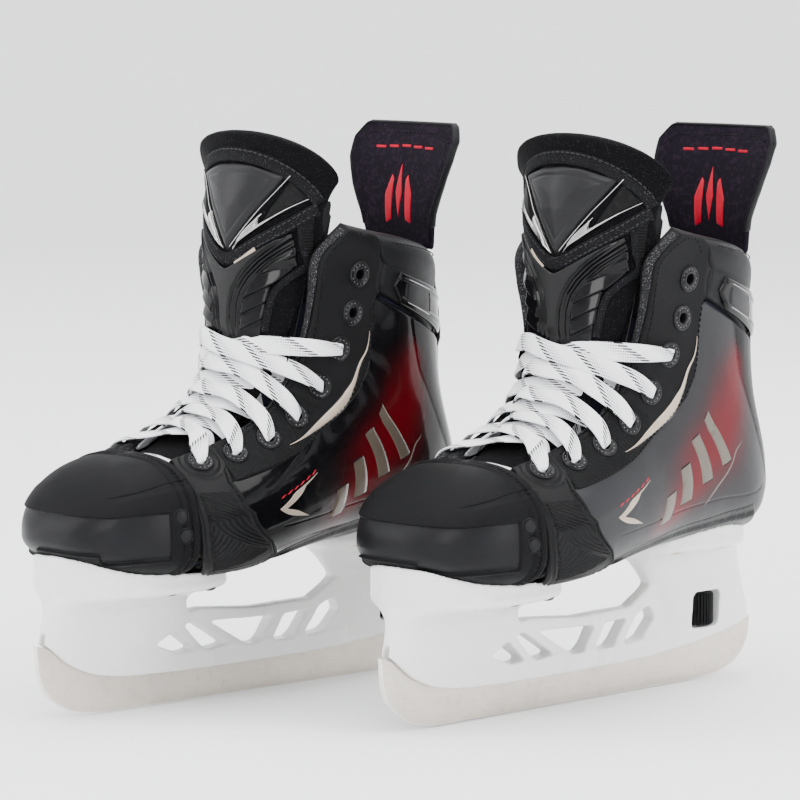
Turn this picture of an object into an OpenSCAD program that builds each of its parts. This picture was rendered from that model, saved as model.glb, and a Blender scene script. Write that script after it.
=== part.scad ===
// A pair of ice hockey skates standing on their runners, toes towards -Y.
// Each skate is drawn in its own frame first: +X to the toe, +Y to the skate's left,
// +Z up, origin on the ice under the middle of the runner.

/* [Stance] */
// Distance across between the two skates' centre lines
stance_across = 136; // [125:1:170]
// How far the right skate stands ahead of the left one
stance_ahead = 93; // [0:1:110]
// Angle that each toe turns outwards
toe_out = 1.5; // [0:0.5:4]

/* [Boot] */
// Thickness of the composite quarter shell
shell_t = 3; // [2.5:0.25:3.25]
// Thickness of the padded lining
lining_t = 3.2; // [2:0.2:3.6]
// Outer radius of an eyelet's flange
eyelet_flange_r = 6.4; // [5.5:0.1:6.8]
// Radius of an eyelet's hole
eyelet_r = 2.6; // [2.2:0.1:2.8]
// Width of the flat lace
lace_w = 9.5; // [7:0.5:10]
// Thickness of the flat lace
lace_t = 1.4; // [1.2:0.1:1.8]

/* [Blade] */
// Thickness of the steel runner
runner_t = 3; // [2.8:0.1:3.2]
// Half length of the steel runner
runner_half = 136; // [134:1:138]
// Outer radius of the knurled lock wheel
wheel_r = 8.8; // [8.4:0.1:9.2]
// Height of the knurled lock wheel
wheel_h = 17; // [15:0.5:18]
// Number of ribs round the lock wheel
wheel_ribs = 30; // [20:1:36]

/* [Hidden] */
SIDES = ["left", "right"];
PIECES = ["toe_cap", "vamp", "quarter_shell", "outer_wing", "inner_wing", "outer_facing",
    "inner_facing", "collar", "collar_trim", "backstay", "lining", "footbed", "insole_board",
    "outsole", "tongue_lower", "tongue_upper", "tongue_guard", "tongue_badge", "tendon_guard",
    "tendon_spine", "eyelets", "holder", "runner", "lock_wheel", "lock_stud", "front_rivets",
    "rear_rivets", "lace", "lace_tails", "aglets"];
gap = 0.3;
circle_fn = 48;

// Boot stations, from the toe end of the throat to the top of the ankle. Each is
// [throat edge x, y, z, sole or back x, z, half width, widest place, roundness].
STATIONS = [
    [72, 23, 124, 70, 67, 50, 0.50, 3.4], [50, 26, 129, 42, 67, 53, 0.50, 3.4],
    [30, 28, 136, 14, 70, 51, 0.50, 3.2], [14, 30, 145, -16, 74, 47, 0.50, 3.0],
    [3, 32, 157, -52, 77, 42, 0.48, 2.8], [-3, 35, 170, -90, 78, 41, 0.46, 2.6],
    [-6, 38, 183, -122, 81, 42, 0.44, 2.5], [-7, 41, 195, -130, 103, 42, 0.42, 2.2],
    [-7, 44, 207, -121, 143, 42, 0.38, 2.1], [-9, 46, 221, -117, 181, 44, 0.34, 2.1],
    [-26, 48, 235, -112, 219, 46, 0.32, 2.1]];
upper_share = 0.4;      // share of a section's run that lies above its widest place
normal_step = 0.02;

// Lower edge of the facing strip: [station, run from the throat edge].
FACING_EDGE = [[0.1, 0.17], [0.8, 0.20], [1.7, 0.22], [3.2, 0.25], [4.7, 0.26], [6.2, 0.27],
    [7.2, 0.31], [8.0, 0.37], [8.8, 0.43], [9.4, 0.43], [9.8, 0.37], [10, 0.26]];
// Eyelets from the toe up: [station, run from the throat edge].
EYELETS = [[0.60, 0.063], [1.49, 0.080], [2.50, 0.098], [3.62, 0.114], [4.90, 0.122],
    [6.45, 0.134], [7.92, 0.226], [8.97, 0.282]];
facing_out = 1.2;
facing_in = -6.5;
wing_out = 1.8;

// Tongue centre line on its outer face, from the toe end up:
// [x, z, half width, depth of the arch, half angle of the arch].
TONGUE = [[80, 112.5, 17, 2, 60], [62, 122, 19, 3, 62], [44, 130, 21, 4, 64], [30, 138, 22.5, 6, 66],
    [20.5, 150, 24.5, 8, 68], [14.5, 166, 27, 12, 70], [13.5, 181, 29.5, 18, 72]];
TONGUE_TOP = [[13.5, 187.5, 30.8, 20.8, 74], [13.5, 200, 33, 25, 76], [12.5, 222, 38, 31, 79],
    [9.5, 245, 45, 34, 76]];
tongue_t = 8;

// Tendon guard centre line on its front face: [x, z, half width].
GUARD = [[-104.5, 222, 24], [-103.2, 236, 27], [-104, 250, 33], [-107, 264, 37.5],
    [-111, 274, 38], [-115, 283, 33]];
guard_t = 4;

// Outline of the runner, from its rear tip forward along the ice and back along the top.
steel_top = [[-132, 28], [-100, 21.5], [-60, 17], [0, 15.5], [60, 16], [95, 18.5], [115, 25],
    [131, 37]];
groove_lift = 5.5;      // how far the runner reaches up into the holder
pivot = [126, 35];      // front hook that the runner turns on when it is released

// Route of a lace tail inside the left skate's outer side, in that skate's frame.
TAIL = [[-25.5, 33, 174], [-26, 30.5, 170], [-27, 29.5, 158], [-31, 29, 140], [-36, 28, 120],
    [-40, 26, 104], [-39, 24, 96], [-30, 22.5, 93.8], [-12, 22, 90.8], [10, 22, 87],
    [28, 21.5, 84.4], [42, 19.5, 82.8], [49, 14, 82.2], [44, 8.5, 82.3], [32, 7, 83.3],
    [14, 7, 85.6], [-4, 7, 88.2], [-20, 7.5, 89.9], [-36, 8, 91.2], [-52, 8, 92.4],
    [-66, 8, 93], [-80, 8, 93.4]];

function clamp(a, low, high) = min(max(a, low), high);
function side_sign(u) = u < 0 ? -1 : 1;
function row_at(tab, i) = i < 0 ? 2 * tab[0] - tab[1]
    : i >= len(tab) ? 2 * tab[len(tab) - 1] - tab[len(tab) - 2] : tab[i];
// Smooth curve through the rows of a table, t from 0 to the last row.
function curve_at(tab, t) = let (i = clamp(floor(t), 0, len(tab) - 2), f = t - i,
    a = row_at(tab, i - 1), b = row_at(tab, i), c = row_at(tab, i + 1), d = row_at(tab, i + 2))
    0.5 * (2 * b + (c - a) * f + (2 * a - 5 * b + 4 * c - d) * f * f
    + (3 * b - a - 3 * c + d) * f * f * f);
// Straight interpolation of the second column of a table against its first.
function edge_at(tab, s, i = 0) = s <= tab[0][0] ? tab[0][1]
    : i >= len(tab) - 1 ? tab[len(tab) - 1][1]
    : s > tab[i + 1][0] ? edge_at(tab, s, i + 1)
    : tab[i][1] + (tab[i + 1][1] - tab[i][1]) * (s - tab[i][0]) / (tab[i + 1][0] - tab[i][0]);

// Point of the boot's outer surface: station s, and u from -1, the right throat edge,
// through 0, the middle of the sole or back, to 1, the left throat edge.
function skin(s, u) = let (q = curve_at(STATIONS, s), v = 1 - abs(u),
    r = clamp(v / upper_share, 0, 1), th = 90 * clamp((v - upper_share) / (1 - upper_share), 0, 1),
    a = v < upper_share ? q[6] * r : q[6] + (1 - q[6]) * pow(sin(th), 2 / q[7]),
    y = v < upper_share ? q[1] + (q[5] - q[1]) * pow(sin(90 * r), 0.9)
        : q[5] * pow(max(cos(th), 0), 2 / q[7]))
    [q[0] + (q[3] - q[0]) * a, side_sign(u) * y, q[2] + (q[4] - q[2]) * a];
function skin_normal(s, u) = let (ds = skin(s + normal_step, u) - skin(s - normal_step, u),
    du = skin(s, u + normal_step) - skin(s, u - normal_step), n = cross(ds, du))
    n / norm(n);
function off_skin(s, u, t) = skin(s, u) + t * skin_normal(s, u);

// Closed solid between two grids of points of the same size, first the outer one.
module slab(outer, inner) {
    ni = len(outer);
    nj = len(outer[0]);
    m = ni * nj;
    points = concat([for (row = outer) for (p = row) p], [for (row = inner) for (p = row) p]);
    top = [for (i = [0:ni - 2]) for (j = [0:nj - 2]) let (a = i * nj + j)
        each [[a, a + nj + 1, a + 1], [a, a + nj, a + nj + 1]]];
    bottom = [for (f = top) [f[0] + m, f[2] + m, f[1] + m]];
    ends = [for (j = [0:nj - 2]) let (a = j, b = (ni - 1) * nj + j)
        each [[a, a + 1, a + m], [a + 1, a + 1 + m, a + m],
              [b, b + m, b + 1], [b + 1, b + m, b + 1 + m]]];
    sides = [for (i = [0:ni - 2]) let (a = i * nj, b = i * nj + nj - 1)
        each [[a, a + m, a + nj], [a + nj, a + m, a + nj + m],
              [b, b + nj, b + m], [b + nj, b + nj + m, b + m]]];
    polyhedron(points, concat(top, bottom, ends, sides), convexity = 8);
}
// Panel of the boot. Rows are [station, first u, last u, inner offset, outer offset].
module panel(rows, cuts) {
    grid = function (k) [for (r = rows) [for (j = [0:cuts])
        off_skin(r[0], r[1] + (r[2] - r[1]) * j / cuts, r[k])]];
    slab(grid(4), grid(3));
}
// Panel whose rows run the other way: [u, first station, last station, inner, outer].
module cross_panel(rows, cuts) {
    grid = function (k) [for (r = rows) [for (j = [0:cuts])
        off_skin(r[1] + (r[2] - r[1]) * j / cuts, r[0], r[k])]];
    slab(grid(3), grid(4));
}
// Closed solid through a list of rings of points.
module loft(rings) {
    n = len(rings[0]);
    last = len(rings) - 1;
    faces = [for (i = [0:last - 1]) for (j = [0:n - 1]) let (k = (j + 1) % n)
        each [[i * n + j, (i + 1) * n + j, i * n + k], [i * n + k, (i + 1) * n + j, (i + 1) * n + k]]];
    start = [for (j = [0:n - 1]) j];
    end = [for (j = [n - 1:-1:0]) last * n + j];
    polyhedron([for (r = rings) for (p = r) p], concat(faces, [start], [end]), convexity = 8);
}
function oval(x0, x1, half, z, power, n) = [for (i = [0:n - 1]) let (a = -360 * i / n)
    [(x0 + x1) / 2 + (x1 - x0) / 2 * side_sign(cos(a)) * pow(abs(cos(a)), 2 / power),
     half * side_sign(sin(a)) * pow(abs(sin(a)), 2 / power), z]];
// Turns a skate's own frame into the pair's frame. The right skate is a mirror image.
module stand(side) {
    across = side == "left" ? 1 : -1;
    translate([across * stance_across / 2, across * stance_ahead / 2, 0])
    rotate(-90 + across * toe_out) mirror([0, across < 0 ? 1 : 0, 0]) children();
}
module on_skin(s, u) {
    n = skin_normal(s, u);
    translate(skin(s, u)) rotate([0, acos(n[2]), atan2(n[1], n[0])]) children();
}

// Point of the toe cap: phi turns from the right side through the tip to the left side,
// a runs from the middle of the top, 0, over the wall, 90, to the middle of the bottom, 180.
cap_rear = 73.5;
cap_tip = 127;
cap_half = 50.5;
cap_mid = 88;
function cap_point(phi, a, t) = let (
    forward = pow(max(cos(phi), 0), 2 / 2.3), sideways = side_sign(phi) * pow(abs(sin(phi)), 2 / 2.8),
    reach = pow(sin(a), 2 / 2.8), rise = pow(abs(cos(a)), 2 / 2.6),
    x = (cap_tip - cap_rear + t) * forward * reach, along = x / (cap_tip - cap_rear),
    high = 126 - 17 * pow(along, 2.2) + t, low = 67 + 8 * pow(along, 3) - t)
    [cap_rear + x, (cap_half + t) * sideways * reach,
     a < 90 ? cap_mid + (high - cap_mid) * rise : cap_mid - (cap_mid - low) * rise];
cap_turns = [for (i = [-9:9]) i * 10];
module cap_shell(turns, drops, t_out, t_in) {
    grid = function (t) [for (phi = turns) [for (a = drops) cap_point(phi, a, t)]];
    slab(grid(t_out), grid(t_in));
}
module toe_cap() {
    drops = [0.2, 5, 14, 26, 38, 50, 64, 80, 98, 114, 128, 142, 156, 170, 179.8];
    color([0.07, 0.07, 0.075]) cap_shell(cap_turns, drops, 0, -2.6);
}
module vamp() {
    back = 7;
    half = 17;
    color([0.09, 0.09, 0.1]) intersection() {
        translate([-back, 0, 0]) cap_shell(cap_turns, [0.2, 5, 14, 26, 38], -3.2, -6);
        translate([cap_rear, -half, 90]) cube([30, 2 * half, 60]);
    }
}

module quarter_shell() {
    rows = [for (s = [0.25, 1.0, 1.95, 2.2, 3, 4, 4.8, 5.5, 6.1, 6.7, 7.3, 8.0, 8.65])
        let (edge = 1 - edge_at(FACING_EDGE, s) - 0.012)
        [s, -edge, edge, -shell_t, s < 2 ? -1.7 : 0]];
    color([0.17, 0.17, 0.18]) panel(rows, 22);
}
module lining() {
    rows = [for (s = [0.25, 1.1, 2, 3, 4, 4.8, 5.5, 6.1, 6.7, 7.3, 8.0, 8.65])
        let (edge = 1 - edge_at(FACING_EDGE, s) - 0.012)
        [s, -edge, edge, -shell_t - gap - lining_t, -shell_t - gap]];
    color([0.08, 0.08, 0.12]) panel(rows, 20);
}
module wing(u_sign) {
    rows = [[0, 0.05, 1.15], [0.1, 0.04, 1.1], [0.2, 0.03, 0.95], [0.35, 0.04, 1.05],
        [0.44, 0.09, 1.35], [0.53, 0.15, 1.65], [0.6, 0.23, 1.78], [0.65, 0.3, 1.88],
        [0.7, 0.37, 1.9], [0.76, 0.45, 1.85], [0.81, 0.55, 1.65], [0.86, 0.65, 1.4]];
    color([0.1, 0.1, 0.11]) difference() {
        scale_u = [for (r = rows) [u_sign * (1 - r[0]), r[1], r[2], -0.6, wing_out]];
        if (u_sign > 0) cross_panel([for (i = [len(rows) - 1:-1:0]) scale_u[i]], 5);
        else cross_panel(scale_u, 5);
        on_skin(EYELETS[0][0], u_sign * (1 - EYELETS[0][1]))
            cylinder(r = eyelet_r + 0.7, h = 30, center = true, $fn = circle_fn);
    }
}
module outer_wing() { wing(1); }
module inner_wing() { wing(-1); }
module facing(u_sign) {
    stations = [0.15, 0.7, 1.2, 1.4, 2.1, 3, 3.8, 4.6, 5.4, 6.2, 7, 7.6, 8.2, 8.8, 9.3, 9.7, 10];
    color([0.13, 0.13, 0.14]) difference() {
        panel([for (s = stations) let (low = 1 - edge_at(FACING_EDGE, s),
            out = s < 1.3 ? -1.2 : facing_out)
            [s, u_sign > 0 ? low : -1, u_sign > 0 ? 1 : -low, facing_in, out]], 4);
        for (e = EYELETS) on_skin(e[0], u_sign * (1 - e[1])) {
            cylinder(r = eyelet_r + 0.7, h = 30, center = true, $fn = circle_fn);
            translate([0, 0, facing_out]) cylinder(r = eyelet_flange_r + 0.3, h = 6, $fn = circle_fn);
        }
    }
}
module outer_facing() { facing(1); }
module inner_facing() { facing(-1); }
module eyelets() {
    color([0.05, 0.05, 0.05]) for (u_sign = [-1, 1]) for (i = [0:len(EYELETS) - 1]) {
        lift = i == 0 ? wing_out : facing_out;
        on_skin(EYELETS[i][0], u_sign * (1 - EYELETS[i][1])) rotate_extrude($fn = circle_fn)
            polygon([[eyelet_r, facing_in - 0.8], [eyelet_r + 0.5, facing_in - 0.8],
                [eyelet_r + 0.5, lift + 0.05], [eyelet_flange_r, lift + 0.05],
                [eyelet_flange_r - 0.3, lift + 0.8], [eyelet_r + 1.2, lift + 1.3],
                [eyelet_r, lift + 0.9]]);
    }
}
module collar() {
    rows = [for (s = [8.75, 9.1, 9.5, 9.8, 10]) let (edge = 1 - edge_at(FACING_EDGE, s) - 0.015,
        thin = s > 9.9 ? 1.6 : 0) [s, -edge, edge, -7 + thin, 0.4 - thin]];
    color([0.15, 0.15, 0.16]) panel(rows, 20);
}
module collar_trim() {
    rows = [[8.78, -0.50, 0.50, 0.7, 1.8], [9.05, -0.53, 0.53, 0.7, 2.4],
        [9.35, -0.51, 0.51, 0.7, 1.6]];
    color([0.05, 0.05, 0.055]) panel(rows, 18);
}
module backstay() {
    rows = [[6.6, -0.05, 0.05, 0.3, 1.2], [7.2, -0.08, 0.08, 0.3, 2.2], [7.9, -0.11, 0.11, 0.3, 2.6],
        [8.6, -0.13, 0.13, 0.3, 2.6], [8.75, -0.13, 0.13, 2.8, 4.4], [9.4, -0.12, 0.12, 2.8, 4.4],
        [9.85, -0.11, 0.11, 0.9, 2.6]];
    color([0.05, 0.05, 0.055]) panel(rows, 6);
}
sole_stations = [0.3, 1, 2, 3, 4, 5, 5.8];
module outsole() {
    // Narrow under the toe, between the two wings, and as wide as the sole behind them.
    rows = [for (s = [0.3, 1, 1.95, 2.4, 3, 4, 5, 5.8]) let (w = s < 2 ? 0.12 : 0.3)
        [s, -w, w, 0.6, 2.2]];
    color([0.06, 0.06, 0.06]) panel(rows, 16);
}
module insole_board() {
    rows = [for (s = sole_stations) [s, -0.21, 0.21, -9.6, -7.3]];
    color([0.35, 0.3, 0.22]) panel(rows, 6);
}
module footbed() {
    rows = [for (s = sole_stations) [s, -0.23, 0.23, -13, -9.9]];
    color([0.12, 0.12, 0.14]) panel(rows, 10);
}

// Point of the tongue: row t of the table, angle q across the arch, depth below the face.
function arch(tab, t, q, depth) = let (r = curve_at(tab, t),
    d = curve_at(tab, min(t + 0.05, len(tab) - 1)) - curve_at(tab, max(t - 0.05, 0)),
    along = [d[0], d[1]] / norm([d[0], d[1]]), out = [along[1], -along[0]],
    drop = r[3] * (1 - cos(q)) + depth * cos(q), half = (r[2] - depth * 0.8) * sin(q))
    [r[0] - out[0] * drop, half, r[1] - out[1] * drop];
module arch_slab(tab, steps, spread, cuts, depth0, depth1) {
    last = len(tab) - 1;
    grid = function (depth) [for (i = [0:steps]) let (t = last * i / steps,
        reach = curve_at(tab, t)[4] * spread)
        [for (j = [0:cuts]) arch(tab, t, reach * (2 * j / cuts - 1), depth)]];
    slab(grid(depth1), grid(depth0));
}
// Height that the tongue's rounded top adds beyond its last station, at angle q.
function crown(q) = 38 * pow(max(cos(q * 90 / 80), 0), 0.35);
// The top also curls forward and spreads, more and more towards its edge.
flare_ahead = 9;
flare_across = 0.24;
function curl(share) = lookup(share, [[0, 0], [1 / 3, 1 / 9], [2 / 3, 4 / 9], [1, 1]]);
module tongue_lower() {
    color([0.05, 0.05, 0.055]) arch_slab(TONGUE, 10, 1, 10, 1.2, tongue_t);
}
module tongue_upper() {
    steps = 5;
    top = TONGUE_TOP[len(TONGUE_TOP) - 1];
    lean = -0.24;
    grid = function (depth) concat(
        [for (i = [0:steps]) [for (j = [0:12]) let (q = top[4] * (j / 6 - 1))
            arch(TONGUE_TOP, 3 * i / steps, q, depth)]],
        [for (i = [1:3]) [for (j = [0:12]) let (q = top[4] * (j / 6 - 1),
            h = crown(q) * i / 3, p = arch(TONGUE_TOP, 3, q, i == 3 ? min(max(depth, 3), 6) : depth))
            [p[0] + lean * h + flare_ahead * cos(q) * i * i / 9, p[1] * (1 + flare_across * i * i / 9),
                p[2] + h]]]);
    color([0.05, 0.05, 0.055]) slab(grid(tongue_t), grid(1.2));
}
module tongue_guard() {
    low = TONGUE_TOP[0] + [0, 2, 0, 0, 0];
    color([0.03, 0.03, 0.035]) arch_slab([low, TONGUE_TOP[1], TONGUE_TOP[2]], 4, 0.72, 8, -1.6, 0.8);
}
module tongue_badge() {
    rows = [[12.6, 223.5, 3], [11.8, 231, 16], [10, 243, 26], [6.5, 258, 33], [4.2, 267, 33]];
    half_arch = 34;
    grid = function (depth) [for (r = rows) [for (j = [0:8]) let (y = r[2] * (j / 4 - 1),
        q = asin(y / 48), over = curl(max(r[1] - 245, 0) / crown(q)), half = 48 * (1 + flare_across * over),
        drop = half_arch * (1 - sqrt(max(1 - pow(y / half, 2), 0))))
        [r[0] - drop + depth + flare_ahead * cos(q) * over, y, r[1]]]];
    color([0.08, 0.08, 0.085]) slab(grid(-1.1), grid(1.8));
}

// Tendon guard: a plate that bows forward at its edges a little.
module guard_plate(width_share, front, thick, cuts) {
    grid = function (depth) [for (r = GUARD) [for (j = [0:cuts])
        let (y = r[2] * width_share * (2 * j / cuts - 1))
        [r[0] + 4 * pow(y / 38, 2) - depth, y, r[1]]]];
    slab(grid(front + thick), grid(front));
}
module tendon_guard() {
    color([0.06, 0.05, 0.08]) guard_plate(1, 0, guard_t, 8);
}
module tendon_spine() {
    color([0.03, 0.03, 0.035]) guard_plate(0.5, guard_t + gap, 2.2, 4);
}

// Holder: two flared pedestals, joined by a trussed bridge, with a groove for the runner.
front_rings = [[74, 30, 122, 36], [64, 28, 124, 37], [60.8, 28, 124, 37], [57, 36, 126.5, 22],
    [52, 42, 128.5, 12.5], [44, 40, 131, 9], [34, 34, 133.5, 7], [14, 30, 134, 5]];
rear_rings = [[80, -117, -35, 26], [74.5, -117.5, -35, 26], [71.6, -118, -36, 26], [67, -121, -44, 15],
    [58, -125, -52, 10], [45, -129.5, -60, 8], [32, -134, -64, 7], [14, -135, -60, 5]];
// Underside of the boot's sole, from the heel to the toe, that the holder stops under.
sole_line = [[-150, 80], [-116, 77], [-90, 75.4], [-52, 74.3], [-16, 71.3], [14, 67.3], [42, 64.3],
    [74, 64.3], [76, 66.5], [100, 67.6], [115, 70.1], [124, 72.9], [150, 80]];
windows = [[[65, 30.5], [52, 36.5], [38, 25.5], [48, 24.5]], [[46, 38.5], [38, 39], [17, 26], [31, 24.5]],
    [[28, 38.5], [-14, 37], [-5, 24.5], [4, 24.5]], [[-21, 37], [-38, 38], [-27, 24.5], [-13, 24.5]],
    [[-45, 39], [-55, 42.5], [-59, 36], [-49, 26], [-34, 24.5]]];
front_rivet_places = [[99.5, 27], [76, 31], [51, 30]];
rear_rivet_places = [[-57, 18], [-92, 18]];
wheel_at = [-95, 36.7];
bridge_outline = [[60, 14], [45, 44], [34, 46], [0, 43], [-40, 43.5], [-52, 50], [-62, 58], [-75, 40],
    [-75, 14]];
module side_cut(outline, width) {
    translate([0, width / 2, 0]) rotate([90, 0, 0]) linear_extrude(width) polygon(outline);
}
module holder() {
    groove_w = runner_t + 0.5;
    color([0.92, 0.93, 0.92]) difference() {
        union() {
            loft([for (r = front_rings) oval(r[1], r[2], r[3], r[0], 2.6, 28)]);
            loft([for (r = rear_rings) oval(r[1], r[2], r[3], r[0], 2.6, 28)]);
            side_cut(bridge_outline, 11);
        }
        for (w = windows) side_cut(w, 40);
        side_cut(concat(sole_line, [[150, 100], [-150, 100]]), 90);
        side_cut(concat([[-150, 5], [-150, 33]], [for (p = steel_top) p], [[150, 40], [150, 5]]), 60);
        side_cut(concat([[-150, 5], [-150, 38]],
            [for (p = steel_top) [p[0], p[1] + groove_lift + 0.8]], [[150, 45], [150, 5]]), groove_w);
        translate([wheel_at[0], 0, wheel_at[1]]) {
            cube([20.5, 60, wheel_h + 1.4], center = true);
        }
        translate([wheel_at[0], 0, 24.8]) cylinder(r = 2.6, h = 32, $fn = circle_fn);
        for (p = front_rivet_places) for (m = [-1, 1])
            translate([p[0], m * p[1], 50]) {
                cylinder(r = 2.1, h = 24, $fn = circle_fn);
                cylinder(r = 4, h = 10.75, $fn = circle_fn);
            }
        for (p = rear_rivet_places) for (m = [-1, 1])
            translate([p[0], m * p[1], 61]) {
                cylinder(r = 2.1, h = 19, $fn = circle_fn);
                cylinder(r = 4, h = 10.55, $fn = circle_fn);
            }
    }
}
module runner() {
    h = runner_half;
    outline = concat([[-h, 28], [-h + 1.5, 17], [-h + 8, 8], [-h + 20, 2.5], [-h + 38, 0.4], [-80, 0],
        [80, 0], [h - 36, 0.5], [h - 20, 3.5], [h - 8, 11], [h - 2, 21], [h - 0.5, 37]],
        [for (i = [len(steel_top) - 2:-1:1]) [steel_top[i][0] + 0.2, steel_top[i][1] + groove_lift]]);
    color([0.72, 0.69, 0.65]) side_cut(outline, runner_t);
}
module lock_wheel() {
    color([0.04, 0.04, 0.045]) translate([wheel_at[0], 0, wheel_at[1] - wheel_h / 2])
    linear_extrude(wheel_h) difference() {
        polygon([for (i = [0:wheel_ribs * 2 - 1]) let (r = wheel_r - (i % 2) * 0.7,
            a = 180 * i / wheel_ribs) r * [cos(a), sin(a)]]);
        circle(r = 2.56, $fn = circle_fn);
    }
}
module lock_stud() {
    stud_low = 28;
    color([0.7, 0.7, 0.7]) translate([wheel_at[0], 0, stud_low])
        cylinder(r = 2.5, h = 28, $fn = circle_fn);
}
module rivet(length, head_r) {
    rotate_extrude($fn = circle_fn) polygon([[0, -1.7], [head_r * 0.6, -1.4], [head_r, -0.3],
        [head_r, -0.05], [2.05, -0.05], [2.05, length], [0, length]]);
}
module front_rivets() {
    color([0.15, 0.15, 0.15]) for (p = front_rivet_places) for (m = [-1, 1])
        translate([p[0], m * p[1], 60.7]) rivet(3.2, 3.6);
}
module rear_rivets() {
    color([0.75, 0.42, 0.3]) for (p = rear_rivet_places) for (m = [-1, 1])
        translate([p[0], m * p[1], 71.5]) rivet(2.4, 3.6);
}

// Lace: flat ribbon swept along a list of [point, across direction, width].
function unit(v) = v / max(norm(v), 0.0001);
module ribbon(stops, thick, per_span) {
    last = len(stops) - 1;
    samples = [for (i = [0:last * per_span]) i / per_span];
    place = [for (s = stops) s[0]];
    wide = [for (s = stops) concat(unit(s[1]), [s[2]])];
    rings = [for (t = samples) let (c = curve_at(place, t), q = curve_at(wide, t),
        ahead = unit(curve_at(place, min(t + 0.1, last)) - curve_at(place, max(t - 0.1, 0))),
        raw = [q[0], q[1], q[2]], across = unit(raw - (raw * ahead) * ahead),
        up = cross(ahead, across), w = q[3] / 2, h = thick / 2)
        [for (k = [[1, 0], [0.8, 1], [0, 1.1], [-0.8, 1], [-1, 0], [-0.8, -1], [0, -1.1], [0.8, -1]])
            c + k[0] * w * across + k[1] * h * up]];
    loft(rings);
}
// Rows of the tongue that a strand crosses at its near shoulder, its middle and its far
// shoulder, for the strand that lies on top and for the one beneath it; then the height of the
// upper one over the tongue, and how far along to the next eyelet it crosses the throat edge.
OVER = [[2.07, 2.3, 2.5], [3.15, 3.2, 3.3], [4.1, 4.15, 4.25], [4.88, 5, 5.05], [5.4, 5.65, 5.85]];
UNDER = [[1.95, 2, 2.3], [2.85, 2.75, 2.9], [3.85, 3.75, 3.85], [4.5, 4.5, 4.6], [5.35, 5.45, 5.7]];
LIFT = [7.5, 7, 6, 5, 4.2];
NEAR_SHARE = [0.2, 0.25, 0.17, 0, -0.19];
function eye_place(i, u_sign, t) = off_skin(EYELETS[i][0], u_sign * (1 - EYELETS[i][1]), t);
function rim_place(i, share, u_sign, t) = let (s = EYELETS[i][0]
    + share * (EYELETS[min(i + 1, 7)][0] - EYELETS[i][0])) off_skin(s, u_sign * 0.99, t);
// Strand from eyelet i on one side to eyelet i + 1 on the other. It goes under the far facing,
// but the uppermost pair lies over the facing and goes down into its eyelets.
module strand(i, u_sign, rows, lift) {
    along = unit(skin(EYELETS[i + 1][0], 0.95) - skin(EYELETS[i][0], 0.95));
    near = [[eye_place(i, u_sign, -2), along, 4.4], [eye_place(i, u_sign, 2.6), along, 6],
        [rim_place(i, NEAR_SHARE[i], u_sign, 3.2), along, 9],
        [arch(TONGUE, rows[0], u_sign * 34, 0.8 - lift), along, lace_w],
        [arch(TONGUE, rows[1], 0, -lift), along, lace_w],
        [arch(TONGUE, rows[2], -u_sign * 34, (i == 4 ? 1 : 2.2) - lift), along, lace_w]];
    far = i == 4 ? [[rim_place(i, 0.42, -u_sign, 3.2), along, 9],
            [eye_place(i + 1, -u_sign, 2.6), along, 6], [eye_place(i + 1, -u_sign, -2), along, 4.4]]
        : [[rim_place(i, 0.45, -u_sign, -5.2), along, lace_w],
            [eye_place(i + 1, -u_sign, -8.4), along, 7], [eye_place(i + 1, -u_sign, -5), along, 4.4]];
    ribbon(concat(near, far), lace_t, 2);
}
module lace(top) {
    across_bar = unit(skin(1, 0.95) - skin(0, 0.95));
    bar_top = [66.5, 0, 123.5];
    color([0.93, 0.93, 0.94]) {
        for (i = [0:4]) {
            strand(i, top, OVER[i], LIFT[i]);
            strand(i, -top, UNDER[i], LIFT[i] - 2);
        }
        ribbon([[eye_place(0, 1, -5), across_bar, 4.4], [eye_place(0, 1, -8.2), across_bar, 7],
            [bar_top + [0, 14, -1.5], across_bar, lace_w], [bar_top, across_bar, lace_w],
            [bar_top + [0, -14, -1.5], across_bar, lace_w], [eye_place(0, -1, -8.2), across_bar, 7],
            [eye_place(0, -1, -5), across_bar, 4.4]], lace_t, 2);
    }
}
module lace_tails() {
    color([0.93, 0.93, 0.94]) for (m = [1, -1]) {
        flip = function (p) [p[0], m * p[1], p[2]];
        ribbon([for (i = [0:len(TAIL) - 1]) let (a = flip(TAIL[max(i - 1, 0)]),
            b = flip(TAIL[min(i + 1, len(TAIL) - 1)]), flat = cross(b - a, [0, 0, 1]),
            hung = i < 6) [flip(TAIL[i]), hung ? [m, 0, 0.3] : flat, i == 0 ? 5 : lace_w]], lace_t, 1);
    }
}
module aglets() {
    end = TAIL[len(TAIL) - 1];
    color([0.85, 0.85, 0.87]) for (m = [1, -1])
        translate([end[0], m * end[1], end[2]]) rotate([0, -90, 0]) cylinder(r = 1.5, h = 20, $fn = 24);
}

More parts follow.
